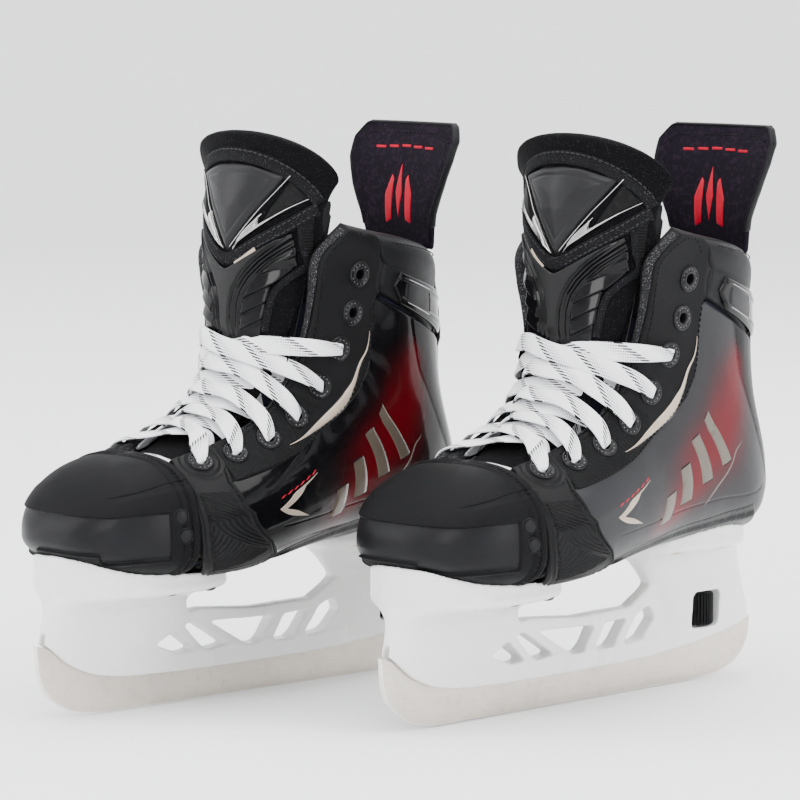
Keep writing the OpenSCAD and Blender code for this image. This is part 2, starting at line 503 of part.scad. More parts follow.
module piece(name, top) {
    if (name == "toe_cap") toe_cap();
    if (name == "vamp") vamp();
    if (name == "quarter_shell") quarter_shell();
    if (name == "outer_wing") outer_wing();
    if (name == "inner_wing") inner_wing();
    if (name == "outer_facing") outer_facing();
    if (name == "inner_facing") inner_facing();
    if (name == "collar") collar();
    if (name == "collar_trim") collar_trim();
    if (name == "backstay") backstay();
    if (name == "lining") lining();
    if (name == "footbed") footbed();
    if (name == "insole_board") insole_board();
    if (name == "outsole") outsole();
    if (name == "tongue_lower") tongue_lower();
    if (name == "tongue_upper") tongue_upper();
    if (name == "tongue_guard") tongue_guard();
    if (name == "tongue_badge") tongue_badge();
    if (name == "tendon_guard") tendon_guard();
    if (name == "tendon_spine") tendon_spine();
    if (name == "eyelets") eyelets();
    if (name == "holder") holder();
    if (name == "runner") runner();
    if (name == "lock_wheel") lock_wheel();
    if (name == "lock_stud") lock_stud();
    if (name == "front_rivets") front_rivets();
    if (name == "rear_rivets") rear_rivets();
    if (name == "lace") lace(top);
    if (name == "lace_tails") lace_tails();
    if (name == "aglets") aglets();
}
for (side = SIDES) for (name = PIECES)
    stand(side)
        piece(name, side == "left" ? 1 : -1);
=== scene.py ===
"""A pair of ice hockey skates: fine meshes and materials over the CAD frame.

Every piece is written in one skate's own frame, in millimetres: +X to the toe, +Y to
the left skate's outer side, +Z up, origin on the ice. to_row() stands it in the row
frame, in metres. The right skate is the mirror image.
"""
import math

import bmesh
import bpy
import numpy as np
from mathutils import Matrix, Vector


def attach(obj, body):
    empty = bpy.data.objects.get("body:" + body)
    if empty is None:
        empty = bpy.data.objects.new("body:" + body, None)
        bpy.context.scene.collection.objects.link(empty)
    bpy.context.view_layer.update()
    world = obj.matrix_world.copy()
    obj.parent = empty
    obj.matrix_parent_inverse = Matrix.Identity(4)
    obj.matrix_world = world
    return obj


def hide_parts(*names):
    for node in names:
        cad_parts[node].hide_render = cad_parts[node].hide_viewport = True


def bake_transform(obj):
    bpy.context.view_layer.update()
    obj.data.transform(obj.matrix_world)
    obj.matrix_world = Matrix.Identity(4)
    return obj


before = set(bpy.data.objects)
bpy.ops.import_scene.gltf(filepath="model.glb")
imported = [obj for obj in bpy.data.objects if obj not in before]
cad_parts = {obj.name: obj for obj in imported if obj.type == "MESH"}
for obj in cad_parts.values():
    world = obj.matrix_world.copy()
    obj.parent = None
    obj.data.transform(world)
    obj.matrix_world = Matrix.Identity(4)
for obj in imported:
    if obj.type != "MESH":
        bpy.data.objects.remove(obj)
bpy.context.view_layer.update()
SIDES = ("left", "right")
HAND = {"left": 1, "right": -1}
PARTS = ((1, "outer"), (-1, "inner"))
STANCE_ACROSS, STANCE_AHEAD, TOE_OUT = 136, 93, 1.5
scene = bpy.context.scene


# ---------------------------------------------------------------- camera, floor, lights
def add_object(name, data):
    obj = bpy.data.objects.new(name, data)
    scene.collection.objects.link(obj)
    return obj


def aim(obj, target):
    way = Vector(target) - obj.location
    obj.rotation_euler = way.to_track_quat("-Z", "Y").to_euler()


camera = add_object("photo_camera", bpy.data.cameras.new("photo_camera"))
camera.location = (1.5703, -1.5381, 0.3793)
pitch = math.radians(5.992)
aim(camera, camera.location + Vector((-0.7157 * math.cos(pitch), 0.6984 * math.cos(pitch), -math.sin(pitch))))
camera.data.lens = 200.2
camera.data.sensor_width = 36
camera.data.clip_start = 0.05
scene.camera = camera

world = bpy.data.worlds.new("studio")
world.use_nodes = True
world.node_tree.nodes["Background"].inputs["Color"].default_value = (0.97, 0.98, 1, 1)
world.node_tree.nodes["Background"].inputs["Strength"].default_value = 0.3
scene.world = world


def softbox(name, place, target, size, watts, color=(1, 1, 1)):
    data = bpy.data.lights.new(name, "AREA")
    data.shape = "RECTANGLE"
    data.size, data.size_y = size
    data.energy = watts
    data.color = color
    lamp = add_object(name, data)
    lamp.location = place
    aim(lamp, target)


softbox("overhead", (0, 0, 3.3), (0, 0.001, 0), (5.4, 5.4), 450)
softbox("key", (0.5, -1.9, 1.3), (0, 0, 0.12), (0.8, 0.9), 26)
softbox("side_right", (1.8, 0.3, 0.75), (0, 0, 0.12), (0.45, 1.3), 20)
softbox("side_left", (-1.2, -1.1, 0.8), (0, 0, 0.12), (0.4, 1.3), 9)
softbox("rim", (-0.5, 1.5, 1.3), (0, 0, 0.15), (1.2, 0.5), 10)


# ---------------------------------------------------------------- meshes
def to_row(side, points):
    k = HAND[side]
    turn = math.radians(-90 + TOE_OUT * k)
    toe = np.array([math.cos(turn), math.sin(turn), 0])
    left = k * np.array([-math.sin(turn), math.cos(turn), 0])
    start = np.array([k * STANCE_ACROSS / 2, k * STANCE_AHEAD / 2, 0])
    p = np.asarray(points, float)
    return (start + p[..., :1] * toe + p[..., 1:2] * left + p[..., 2:3] * [0, 0, 1]) / 1000


def quads(ni, nj, loop_j=False, base=0):
    i = np.arange(ni - 1)[:, None]
    j = np.arange(nj if loop_j else nj - 1)[None, :]
    j1 = (j + 1) % nj
    return base + np.stack([i * nj + j, (i + 1) * nj + j, (i + 1) * nj + j1, i * nj + j1], -1).reshape(-1, 4)


def build(side, name, parts, mat, uv=None, tints=None, body="root", cad=(), slot=None, weld=0.01, flat=None):
    """One mesh piece from parts, each (points, quads), in a skate's frame in mm."""
    points, faces, base = [], [], 0
    for v, f in parts:
        v = np.asarray(v, float).reshape(-1, 3)
        points.append(v)
        faces.append(np.asarray(f).reshape(-1, 4) + base)
        base += len(v)
    v, f = np.concatenate(points), np.concatenate(faces)
    me = bpy.data.meshes.new(name + "_" + side)
    me.vertices.add(len(v))
    me.vertices.foreach_set("co", to_row(side, v).astype(np.float32).ravel())
    me.loops.add(f.size)
    me.loops.foreach_set("vertex_index", f.astype(np.int32).ravel())
    me.polygons.add(len(f))
    me.polygons.foreach_set("loop_start", np.arange(0, f.size, 4, dtype=np.int32))
    me.update(calc_edges=True)
    if uv is not None:
        layer = me.uv_layers.new(name="mm")
        layer.data.foreach_set("uv", np.asarray(uv, float).reshape(-1, 2)[f.ravel()].ravel())
    for key, values in (tints or {}).items():
        att = me.attributes.new(key, "FLOAT", "POINT")
        att.data.foreach_set("value", np.asarray(values, np.float32).ravel())
    me.validate()
    bm = bmesh.new()
    bm.from_mesh(me)
    if weld:
        bmesh.ops.remove_doubles(bm, verts=bm.verts, dist=weld / 1000)
    bmesh.ops.recalc_face_normals(bm, faces=bm.faces)
    bm.to_mesh(me)
    bm.free()
    me.polygons.foreach_set("use_smooth", np.ones(len(me.polygons), bool))
    if flat:
        me.set_sharp_from_angle(angle=math.radians(flat))
    me.materials.append(M[mat])
    obj = add_object(name + "_" + side, me)
    place(side, obj, body, cad, slot or USUAL_SLOT.get(mat))
    return obj


def place(side, obj, body="root", cad=(), slot=None):
    """Rides on a body and stands for CAD nodes; its slot argument is not used."""
    if body is not None:
        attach(obj, body if body == "root" else side + "_" + body)
    if cad:
        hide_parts(*[side + "_" + n for n in cad])


def capped(grid):
    """Closed tube through a grid of rings, each end drawn to its ring's middle."""
    n, m = grid.shape[:2]
    ends = grid[[0, -1]].mean(1)
    v = np.concatenate([np.repeat(ends[:1], m, 0), grid.reshape(-1, 3), np.repeat(ends[1:], m, 0)])
    return v, quads(n + 2, m, loop_j=True)


def slab(outer, inner):
    """Closed solid between two grids whose borders are joined."""
    ni, nj = outer.shape[:2]
    m = ni * nj
    top = quads(ni, nj)
    i, j = np.arange(ni), np.arange(nj)
    ring = np.concatenate([j[:-1], i[:-1] * nj + nj - 1, (ni - 1) * nj + j[:0:-1], i[:0:-1] * nj])
    nxt = np.roll(ring, -1)
    rim = np.stack([ring, nxt, nxt + m, ring + m], -1)
    return np.concatenate([outer.reshape(-1, 3), inner.reshape(-1, 3)]), np.concatenate([top, top[:, ::-1]
            + m, rim])


def unit(v):
    return v / np.maximum(np.linalg.norm(v, axis=-1, keepdims=True), 1e-9)


def spline(table, t):
    """Catmull-Rom through a table's rows, t from 0 to the last row."""
    tab = np.asarray(table, float)
    ext = np.vstack([2 * tab[0] - tab[1], tab, 2 * tab[-1] - tab[-2]])
    t = np.asarray(t, float)
    i = np.clip(np.floor(t).astype(int), 0, len(tab) - 2)
    f = (t - i)[..., None]
    a, b, c, d = ext[i], ext[i + 1], ext[i + 2], ext[i + 3]
    return 0.5 * (2 * b + (c - a) * f + (2 * a - 5 * b + 4 * c - d) * f**2 + (3 * b - a - 3 * c + d) * f**3)


def resample(path, step=None, count=None, curved=True):
    """Points evenly spaced along a path."""
    p = spline(path, np.linspace(0, len(path) - 1, len(path) * 16)) if curved else np.asarray(path, float)
    run = np.concatenate([[0], np.cumsum(np.linalg.norm(np.diff(p, axis=0), axis=1))])
    n = count or max(2, int(round(run[-1] / step)) + 1)
    at = np.linspace(0, run[-1], n)
    return np.stack([np.interp(at, run, p[:, k]) for k in range(p.shape[1])], -1)


def sweep(path, ups, ring):
    """Closed tube along path; ring is its section as (across, up) pairs, per point or shared."""
    path = np.asarray(path, float)
    ahead = unit(np.gradient(path, axis=0))
    across = unit(np.cross(ahead, ups))
    up = np.cross(across, ahead)
    ring = np.asarray(ring, float)
    if ring.ndim == 2:
        ring = np.broadcast_to(ring, (len(path),) + ring.shape)
    return capped(path[:, None] + ring[..., :1] * across[:, None] + ring[..., 1:] * up[:, None])


def turns(n):
    """Angles of n places evenly round a circle."""
    return np.linspace(0, 2 * math.pi, n, endpoint=False)


def circle_ring(r, n=10, flat=1.0):
    a = turns(n)
    return np.stack([r * np.cos(a), r * flat * np.sin(a)], -1)


def stitches(path, ups, pitch=3.1, length=2.2, r=0.33, lift=0.15):
    """Row of raised stitches along a path."""
    both = resample(np.hstack([path, ups]), step=pitch / 2, curved=len(path) < 40)
    p, up = both[:, :3], unit(both[:, 3:])
    ahead = unit(np.gradient(p, axis=0))
    parts = []
    bend = np.array([-0.5, -0.36, 0, 0.36, 0.5])
    for k in range(1, len(p) - 1, 2):
        c = p[k] + up[k] * (lift - r * 0.3)
        line = c + bend[:, None] * length * ahead[k] - np.abs(bend[:, None]) ** 3 * 4 * r * up[k]
        size = np.array([0.35, 0.9, 1, 0.9, 0.35])[:, None, None] * circle_ring(r, 6)
        parts.append(sweep(line, np.repeat(up[k][None], 5, 0), size))
    return parts


# ---------------------------------------------------------------- the boot's outer surface
STATIONS = np.array([
    [72, 23, 124, 70, 67, 50, 0.50, 3.4], [50, 26, 129, 42, 67, 53, 0.50, 3.4],
    [30, 28, 136, 14, 70, 51, 0.50, 3.2], [14, 30, 145, -16, 74, 47, 0.50, 3.0],
    [3, 32, 157, -52, 77, 42, 0.48, 2.8], [-3, 35, 170, -90, 78, 41, 0.46, 2.6],
    [-6, 38, 183, -122, 81, 42, 0.44, 2.5], [-7, 41, 195, -130, 103, 42, 0.42, 2.2],
    [-7, 44, 207, -121, 143, 42, 0.38, 2.1], [-9, 46, 221, -117, 181, 44, 0.34, 2.1],
    [-26, 48, 235, -112, 219, 46, 0.32, 2.1]])
UPPER_SHARE = 0.4
# About how many mm one station along the boot and one unit of v round it stand for.
PITCH, GIRTH = 24, 125
FACING_EDGE = np.array([
    [0.1, 0.17], [0.8, 0.20], [1.7, 0.22], [3.2, 0.25], [4.7, 0.26], [6.2, 0.27], [7.2, 0.31],
    [8.0, 0.37], [8.8, 0.43], [9.4, 0.43], [9.8, 0.37], [10, 0.26]])
EYELETS = np.array([
    [0.60, 0.063], [1.49, 0.080], [2.50, 0.098], [3.62, 0.114], [4.90, 0.122], [6.45, 0.134],
    [7.92, 0.226], [8.97, 0.282]])
FACING_OUT, FACING_IN, WING_OUT = 1.2, -6.5, 1.8


def facing_edge(s):
    return np.interp(s, FACING_EDGE[:, 0], FACING_EDGE[:, 1])


def skin(s, u):
    s, u = np.broadcast_arrays(np.asarray(s, float), np.asarray(u, float))
    q = spline(STATIONS, s)
    v = 1 - np.abs(u)
    r = np.clip(v / UPPER_SHARE, 0, 1)
    th = np.clip((v - UPPER_SHARE) / (1 - UPPER_SHARE), 0, 1) * math.pi / 2
    upper = v < UPPER_SHARE
    a = np.where(upper, q[..., 6] * r, q[..., 6] + (1 - q[..., 6]) * np.sin(th) ** (2 / q[..., 7]))
    y = np.where(upper, q[..., 1] + (q[..., 5] - q[..., 1]) * np.sin(math.pi / 2 * r) ** 0.9,
                 q[..., 5] * np.maximum(np.cos(th), 0) ** (2 / q[..., 7]))
    return np.stack([q[..., 0] + (q[..., 3] - q[..., 0]) * a, np.where(u < 0, -1, 1) * y,
                     q[..., 2] + (q[..., 4] - q[..., 2]) * a], -1)


def skin_normal(s, u, h=0.02):
    s, u = np.broadcast_arrays(np.asarray(s, float), np.asarray(u, float))
    return unit(np.cross(skin(s + h, u) - skin(s - h, u), skin(s, u + h) - skin(s, u - h)))


def off_skin(s, u, t):
    return skin(s, u) + np.asarray(t, float)[..., None] * skin_normal(s, u)


def rounded(n, lip):
    """Sampling from 0 to 1, fine within lip of each end, and how full each place is."""
    near = lip * np.array([0, 0.04, 0.16, 0.36, 0.65, 1])
    t = np.concatenate([near[:-1], np.linspace(lip, 1 - lip, n), 1 - near[-2::-1]])
    d = np.clip(np.minimum(t, 1 - t) / lip, 0, 1)
    return t, np.sqrt(1 - (1 - d) ** 2)


def rounded_grid(size, lips):
    """Grid over a panel, both ways from 0 to 1, and how full each place is."""
    (a, fa), (b, fb) = rounded(size[0], lips[0]), rounded(size[1], lips[1])
    return *np.meshgrid(a, b, indexing="ij"), fa[:, None] * fb[None, :]


def skin_pad(s_of, u_of, size, lips, t_in, t_out, relief=None):
    """Panel on the boot with rounded edges. s_of and u_of take (a, b) in 0..1.
    Returns its slab and the (s, u) of the points."""
    a, b, full = rounded_grid(size, lips)
    s, u = s_of(a, b), u_of(a, b)
    low = np.broadcast_to(t_in(s, u) if callable(t_in) else float(t_in), s.shape)
    high = np.broadcast_to(t_out(s, u) if callable(t_out) else float(t_out), s.shape)
    if relief is not None:
        high = high + relief(a, b, s, u)
    points, faces = slab(off_skin(s, u, low + (high - low) * full), off_skin(s, u, low))
    su = np.stack([s, u], -1).reshape(-1, 2)
    return points, faces, np.concatenate([su, su])


def round_pad(first, span, half, *shape):
    """Panel round the back of the boot from station first over span, half(s) wide to each side."""
    return skin_pad(lambda a, b: first + span * a, lambda a, b: (2 * b - 1) * half(first + span * a), *shape)


def mm_along(s):
    """Length in mm from station 0 to s, along a line through the facing."""
    fine = np.linspace(-0.5, 10.2, 400)
    p = skin(fine, 0.8)
    run = np.concatenate([[0], np.cumsum(np.linalg.norm(np.diff(p, axis=0), axis=1))])
    return np.interp(s, fine, run)


def skin_path(places, sign, t, step=1.0, curved=True):
    """Path over the boot through (s, v) places, with its outward directions."""
    sv = resample(places, count=max(8, 14 * len(places)), curved=curved)
    p = off_skin(sv[:, 0], sign * (1 - sv[:, 1]), np.full(len(sv), float(t)))
    n = skin_normal(sv[:, 0], sign * (1 - sv[:, 1]))
    both = resample(np.hstack([p, n]), step=step, curved=False)
    return both[:, :3], unit(both[:, 3:])


# ---------------------------------------------------------------- materials
def new(tree, kind, props=None, **inputs):
    """Shader node; inputs are named with _ for a space, or in0, in1 for a place."""
    n = tree.nodes.new("ShaderNode" + kind)
    for key, value in (props or {}).items():
        setattr(n, key, value)
    for key, value in inputs.items():
        socket = n.inputs[int(key[2:])] if key[:2] == "in" and key[2:].isdigit() else n.inputs[key.replace("_", " ")]
        if isinstance(value, bpy.types.NodeSocket):
            tree.links.new(value, socket)
        else:
            socket.default_value = value
    return n


def sums(tree, kind, *values):
    return new(tree, "Math", {"operation": kind}, **{"in%d" % i: v for i, v in enumerate(values)}).outputs[0]


def times(tree, first, *others):
    for value in others:
        first = sums(tree, "MULTIPLY", first, value)
    return first


def mix(tree, factor, a, b):
    n = new(tree, "Mix", {"data_type": "RGBA"})
    for socket, value in ((n.inputs[0], factor), (n.inputs[6], a), (n.inputs[7], b)):
        if isinstance(value, bpy.types.NodeSocket):
            tree.links.new(value, socket)
        elif isinstance(value, tuple):
            socket.default_value = (*value, 1)[:4]
        else:
            socket.default_value = value
    return n.outputs[2]


def material(name, color, rough, metal=0, coat=0, coat_rough=0.05, sheen=0, spec=0.12, aniso=0,
        mottle=(60, 0.15),
             bumps=(), tints=(), pattern=None, uv=False, transmission=0):
    """Principled material. bumps are (kind, scale per metre, depth in mm, (x, y, z) stretch);
    tints are (attribute, colour, roughness); pattern(tree, vector) gives (factor, colour, depth)."""
    m = bpy.data.materials.new(name)
    m.use_nodes = True
    t = m.node_tree
    b = t.nodes["Principled BSDF"]
    b.inputs["Metallic"].default_value = metal
    b.inputs["Coat Weight"].default_value = coat
    b.inputs["Coat Roughness"].default_value = coat_rough
    b.inputs["Coat IOR"].default_value = 1.3
    b.inputs["Sheen Weight"].default_value = sheen
    b.inputs["Sheen Roughness"].default_value = 0.4
    b.inputs["Specular IOR Level"].default_value = spec
    b.inputs["Anisotropic"].default_value = aniso
    b.inputs["Transmission Weight"].default_value = transmission
    place_of = new(t, "TexCoord")
    where = place_of.outputs["Object"]
    flat = place_of.outputs["UV"]
    cloud = new(t, "TexNoise", Vector=where, Scale=mottle[0], Detail=4.0).outputs[0]
    shade = new(t, "MapRange", Value=cloud, From_Min=0.3, From_Max=0.7, To_Min=1 - mottle[1], To_Max=1
                + mottle[1]).outputs[0]
    base = new(t, "VectorMath", {"operation": "SCALE"}, Scale=shade, in0=color).outputs[0]
    rough_of = new(t, "MapRange", Value=cloud, From_Min=0.3, From_Max=0.7, To_Min=rough * 0.88,
            To_Max=min(1, rough * 1.12)).outputs[0]
    for attribute, tint, tint_rough in tints:
        amount = new(t, "Attribute", {"attribute_name": attribute}).outputs["Fac"]
        base = mix(t, amount, base, tint)
        if tint_rough is not None:
            rough_of = new(t, "Mix", in0=amount, in2=rough_of, in3=tint_rough).outputs[0]
    normal = None
    if pattern:
        for factor, tint, depth in pattern(t, flat if uv else where):
            if tint is not None:
                base = mix(t, factor, base, tint)
            if depth:
                more = {"Normal": normal} if normal else {}
                normal = new(t, "Bump", Height=factor, Distance=depth / 1000, Strength=1.0, **more).outputs[0]
    for kind, scale, depth, *stretch in bumps:
        vector = new(t, "Mapping", Vector=where, Scale=stretch[0] if stretch else (1, 1, 1)).outputs[0]
        if kind == "cells":
            height = new(t, "TexVoronoi", Vector=vector, Scale=scale).outputs["Distance"]
        else:
            height = new(t, "TexNoise", Vector=vector, Scale=scale, Detail=3.0).outputs[0]
        more = {"Normal": normal} if normal else {}
        normal = new(t, "Bump", Height=height, Distance=depth / 1000, Strength=1.0, **more).outputs[0]
    t.links.new(base, b.inputs["Base Color"])
    t.links.new(rough_of, b.inputs["Roughness"])
    if normal:
        t.links.new(normal, b.inputs["Normal"])
    return m


def split(t, vector):
    out = new(t, "SeparateXYZ", Vector=vector).outputs
    return out[0], out[1], out[2]


def below(t, x, edge):
    return sums(t, "LESS_THAN", x, edge)


def lace_pattern(t, vector):
    """Flat woven lace: white, with slanted rows of black dashes that end a zone of grey flecks."""
    along, across, _ = split(t, vector)
    zone = sums(t, "FRACT", sums(t, "DIVIDE", sums(t, "ADD", along, times(t, across, 1.7)), 25.0))
    thread = below(t, sums(t, "FRACT", times(t, across, 0.74)), 0.56)
    dash = times(t, thread, below(t, sums(t, "ABSOLUTE", sums(t, "SUBTRACT", zone, 0.86)), 0.088))
    inner = new(t, "MapRange", Value=zone, From_Min=0.36, From_Max=0.66).outputs[0]
    spots = below(t, sums(t, "FRACT", times(t, along, 0.8)), 0.62)
    flecks = times(t, thread, spots, inner, times(t, below(t, zone, 0.78), 0.8))
    weave = sums(t, "PINGPONG", sums(t, "ADD", along, sums(t, "ABSOLUTE", across)), 0.42)
    ridge = sums(t, "PINGPONG", across, 0.4)
    rim = times(t, below(t, 4.45, sums(t, "ABSOLUTE", across)), 0.2)
    return [(rim, (0.45, 0.45, 0.5), 0), (flecks, (0.10, 0.10, 0.12), 0), (dash, (0.006, 0.006, 0.008), 0),
            (weave, None, 0.22), (ridge, None, 0.12)]


def fleck_pattern(density, color, scale):
    def pattern(t, vector):
        n = new(t, "TexNoise", Vector=vector, Scale=scale, Detail=2.0).outputs[0]
        fleck = new(t, "MapRange", Value=n, From_Min=density, From_Max=density + 0.05).outputs[0]
        return [(fleck, color, 0.15)]
    return pattern


def carbon_pattern(t, vector):
    """Fine diagonal twill, seen through the lacquer near the sole."""
    _, y, z = split(t, vector)
    run = times(t, sums(t, "ADD", y, times(t, z, 0.9)), 900.0)
    line = sums(t, "PINGPONG", run, 0.5)
    low = new(t, "MapRange", Value=z, From_Min=0.088, From_Max=0.076).outputs[0]
    return [(times(t, line, low, 0.9), (0.09, 0.09, 0.095), 0)]


def weave_pattern(pitch, depth, tint=None, share=0.35):
    def pattern(t, vector):
        x, y, z = split(t, vector)
        k = 1000 / pitch
        a = sums(t, "SINE", times(t, sums(t, "ADD", x, times(t, y, 0.6)), 6.283 * k))
        b = sums(t, "SINE", times(t, z, 6.283 * k))
        n = new(t, "TexNoise", Vector=vector, Scale=420.0, Detail=2.0).outputs[0]
        heather = times(t, below(t, 0.56, n), share)
        return [(heather, tint, 0), (times(t, a, b), None, depth)]
    return pattern


def brushed_pattern(t, vector):
    """Fine grinding lines along the runner, and faint stains."""
    lines = new(t, "TexNoise", Vector=new(t, "Mapping", Vector=vector, Scale=(60, 60, 2600)).outputs[0],
                Scale=1.0, Detail=4.0).outputs[0]
    streak = new(t, "MapRange", Value=lines, From_Min=0.35, From_Max=0.65).outputs[0]
    spots = new(t, "TexNoise", Vector=vector, Scale=240.0, Detail=5.0).outputs[0]
    stain = new(t, "MapRange", Value=spots, From_Min=0.52, From_Max=0.75, To_Max=0.35).outputs[0]
    return [(times(t, streak, 0.35), (0.50, 0.455, 0.42), 0.006), (stain, (0.42, 0.36, 0.32), 0)]


def noise(*values):
    """Noise bumps from scale and depth pairs."""
    return tuple(("noise", *values[k:k + 2]) for k in range(0, len(values), 2))


LEATHER = (("cells", 1500, 0.05), ("noise", 300, 0.10))
MOULDED = noise(2600, 0.035, 180, 0.12)
M = {
    "cap": material("cap_plastic", (0.0044, 0.0044, 0.0050), 0.55, spec=0.06,
            bumps=(("cells", 1900, 0.075), ("noise", 140, 0.15))),
    "cap_band": material("cap_band_plastic", (0.006, 0.006, 0.007), 0.40, spec=0.12,
            bumps=noise(2200, 0.02, 120, 0.12)),
    "leather": material("black_leather", (0.005, 0.005, 0.006), 0.46, spec=0.12, bumps=LEATHER),
    "facing": material("facing_leather", (0.0070, 0.0070, 0.0075), 0.5, spec=0.055, bumps=LEATHER),
    "wing": material("wing_plastic", (0.006, 0.006, 0.0065), 0.45, spec=0.10, bumps=MOULDED),
    "gloss": material("gloss_plastic", (0.003, 0.003, 0.0035), 0.16, spec=0.08, coat=0.38,
            bumps=noise(90, 0.2)),
    "satin_shell": material("satin_shell", (0.020, 0.020, 0.022), 0.38, spec=0.14, coat=0.08, coat_rough=0.25,
            mottle=(25, 0.08), bumps=noise(1800, 0.012, 60, 0.3),
                            tints=(("fade", (0.105, 0.004, 0.008), 0.3),), pattern=carbon_pattern),
    "gloss_shell": material("gloss_shell", (0.003, 0.003, 0.0035), 0.14, spec=0.08, coat=0.42,
            coat_rough=0.03, mottle=(25, 0.1), bumps=noise(45, 0.5),
                            tints=(("fade", (0.09, 0.0012, 0.004), 0.14),), pattern=carbon_pattern),
    "heel_satin": material("heel_band_satin", (0.006, 0.006, 0.007), 0.28, spec=0.04, mottle=(25, 0.1),
            bumps=noise(60, 0.3), tints=(("fade", (0.05, 0.0015, 0.004), 0.3),)),
    "heel_gloss": material("heel_band_gloss", (0.003, 0.003, 0.0035), 0.12, spec=0.05, coat=0.15,
            mottle=(25, 0.1), bumps=noise(45, 0.4), tints=(("fade", (0.05, 0.001, 0.003), 0.14),)),
    "lining": material("lining_microfibre", (0.007, 0.008, 0.018), 0.85, sheen=0.15,
            bumps=noise(1400, 0.16, 90, 0.5)),
    "felt": material("black_felt", (0.003, 0.003, 0.0035), 0.95, spec=0.05, sheen=0.02,
            bumps=noise(1300, 0.4, 350, 0.35), pattern=fleck_pattern(0.63, (0.02, 0.02, 0.022), 1500.0)),
    "knit": material("speckled_binding", (0.005, 0.005, 0.006), 0.8, spec=0.08, sheen=0.02,
            bumps=noise(900, 0.25), pattern=fleck_pattern(0.62, (0.035, 0.035, 0.038), 1500.0)),
    "speckle": material("speckled_edge", (0.010, 0.010, 0.011), 0.75, bumps=noise(1100, 0.2),
            pattern=fleck_pattern(0.60, (0.17, 0.17, 0.18), 1900.0)),
    "guard_cloth": material("guard_cloth", (0.007, 0.005, 0.009), 0.9, spec=0.06, sheen=0.02,
            mottle=(400, 0.3), pattern=weave_pattern(1.0, 0.1, (0.026, 0.014, 0.028)),
            bumps=noise(900, 0.12)),
    "rib_cloth": material("ribbed_cloth", (0.005, 0.005, 0.0055), 0.6, spec=0.1, sheen=0.02,
            bumps=noise(1500, 0.1)),
    "mesh_cloth": material("mesh_cloth", (0.006, 0.006, 0.0065), 0.5,
            pattern=weave_pattern(0.8, 0.25, (0.03, 0.03, 0.032), 0.2)),
    "badge": material("badge_leather", (0.007, 0.007, 0.008), 0.38, spec=0.18, coat=0.12, coat_rough=0.28,
            bumps=(("cells", 1700, 0.03), ("noise", 120, 0.2))),
    "spine": material("spine_plastic", (0.011, 0.011, 0.0115), 0.44, spec=0.15, bumps=MOULDED),
    "thread": material("black_thread", (0.0025, 0.0025, 0.003), 0.6, bumps=noise(3000, 0.1)),
    "grey_thread": material("grey_thread", (0.03, 0.03, 0.032), 0.6, bumps=noise(3000, 0.1)),
    "gold": material("beige_print", (0.40, 0.33, 0.265), 0.38, metal=0.35, mottle=(90, 0.1),
            bumps=noise(1200, 0.02)),
    "gold_dark": material("beige_print_under_lacquer", (0.10, 0.08, 0.062), 0.22, coat=0.8, metal=0.2,
            mottle=(90, 0.1), bumps=noise(900, 0.02)),
    "red": material("red_print", (0.40, 0.003, 0.020), 0.5, mottle=(90, 0.12), bumps=noise(1500, 0.03)),
    "silver": material("silver_foil", (0.36, 0.36, 0.355), 0.2, metal=1, mottle=(300, 0.1),
            bumps=noise(500, 0.05)),
    "white": material("white_nylon", (0.75, 0.762, 0.745), 0.28, spec=0.5, coat=0.3, coat_rough=0.12,
            mottle=(18, 0.02), bumps=noise(1500, 0.012, 50, 0.25)),
    "steel": material("ground_steel", (0.66, 0.60, 0.54), 0.36, metal=0.9, aniso=0.5, mottle=(35, 0.08),
            pattern=brushed_pattern),
    "edge_steel": material("honed_steel", (0.74, 0.72, 0.69), 0.22, metal=1, mottle=(500, 0.06),
            bumps=(("noise", 700, 0.02, (1, 1, 6)),)),
    "black_metal": material("black_painted_metal", (0.010, 0.010, 0.011), 0.3, metal=0.4, coat=0.3,
            bumps=noise(900, 0.05)),
    "copper": material("copper_rivet", (0.72, 0.34, 0.22), 0.26, metal=1, mottle=(300, 0.15),
            bumps=noise(900, 0.04)),
    "rivet": material("steel_rivet", (0.06, 0.06, 0.065), 0.3, metal=0.9, mottle=(300, 0.2),
            bumps=noise(900, 0.04)),
    "rubber": material("wheel_rubber", (0.004, 0.004, 0.0045), 0.5, bumps=noise(1200, 0.08)),
    "stud": material("turned_stud", (0.55, 0.55, 0.56), 0.3, metal=1,
            bumps=(("noise", 900, 0.05, (1, 1, 8)),)),
    "board": material("fibre_board", (0.30, 0.25, 0.17), 0.85, bumps=noise(700, 0.2)),
    "sole": material("sole_composite", (0.006, 0.006, 0.0065), 0.34, coat=0.1, bumps=noise(60, 0.3),
            pattern=weave_pattern(2.0, 0.02, (0.035, 0.035, 0.036), 0.5)),
    "footbed": material("footbed_cloth", (0.035, 0.037, 0.05), 0.9, sheen=0.3,
            pattern=weave_pattern(1.2, 0.15, (0.07, 0.07, 0.09)), bumps=noise(900, 0.12)),
    "lace": material("lace_weave", (0.84, 0.845, 0.87), 0.78, sheen=0.15, mottle=(200, 0.03),
            pattern=lace_pattern, uv=True),
    "aglet": material("aglet_plastic", (0.78, 0.78, 0.8), 0.2, coat=0.5, mottle=(300, 0.05),
            bumps=noise(900, 0.05)),
    "bar": material("beige_bar_under_lacquer", (0.12, 0.105, 0.088), 0.3, coat=0.3, metal=0.15,
            mottle=(90, 0.1), bumps=noise(900, 0.02)),
    "mark": material("eyelet_mark", (0.13, 0.13, 0.135), 0.4, spec=0.5, bumps=noise(3000, 0.05)),
    "floor": material("pale_floor", (0.90, 0.905, 0.91), 0.7, spec=0.2, mottle=(3, 0.01),
            bumps=noise(400, 0.01)),
}

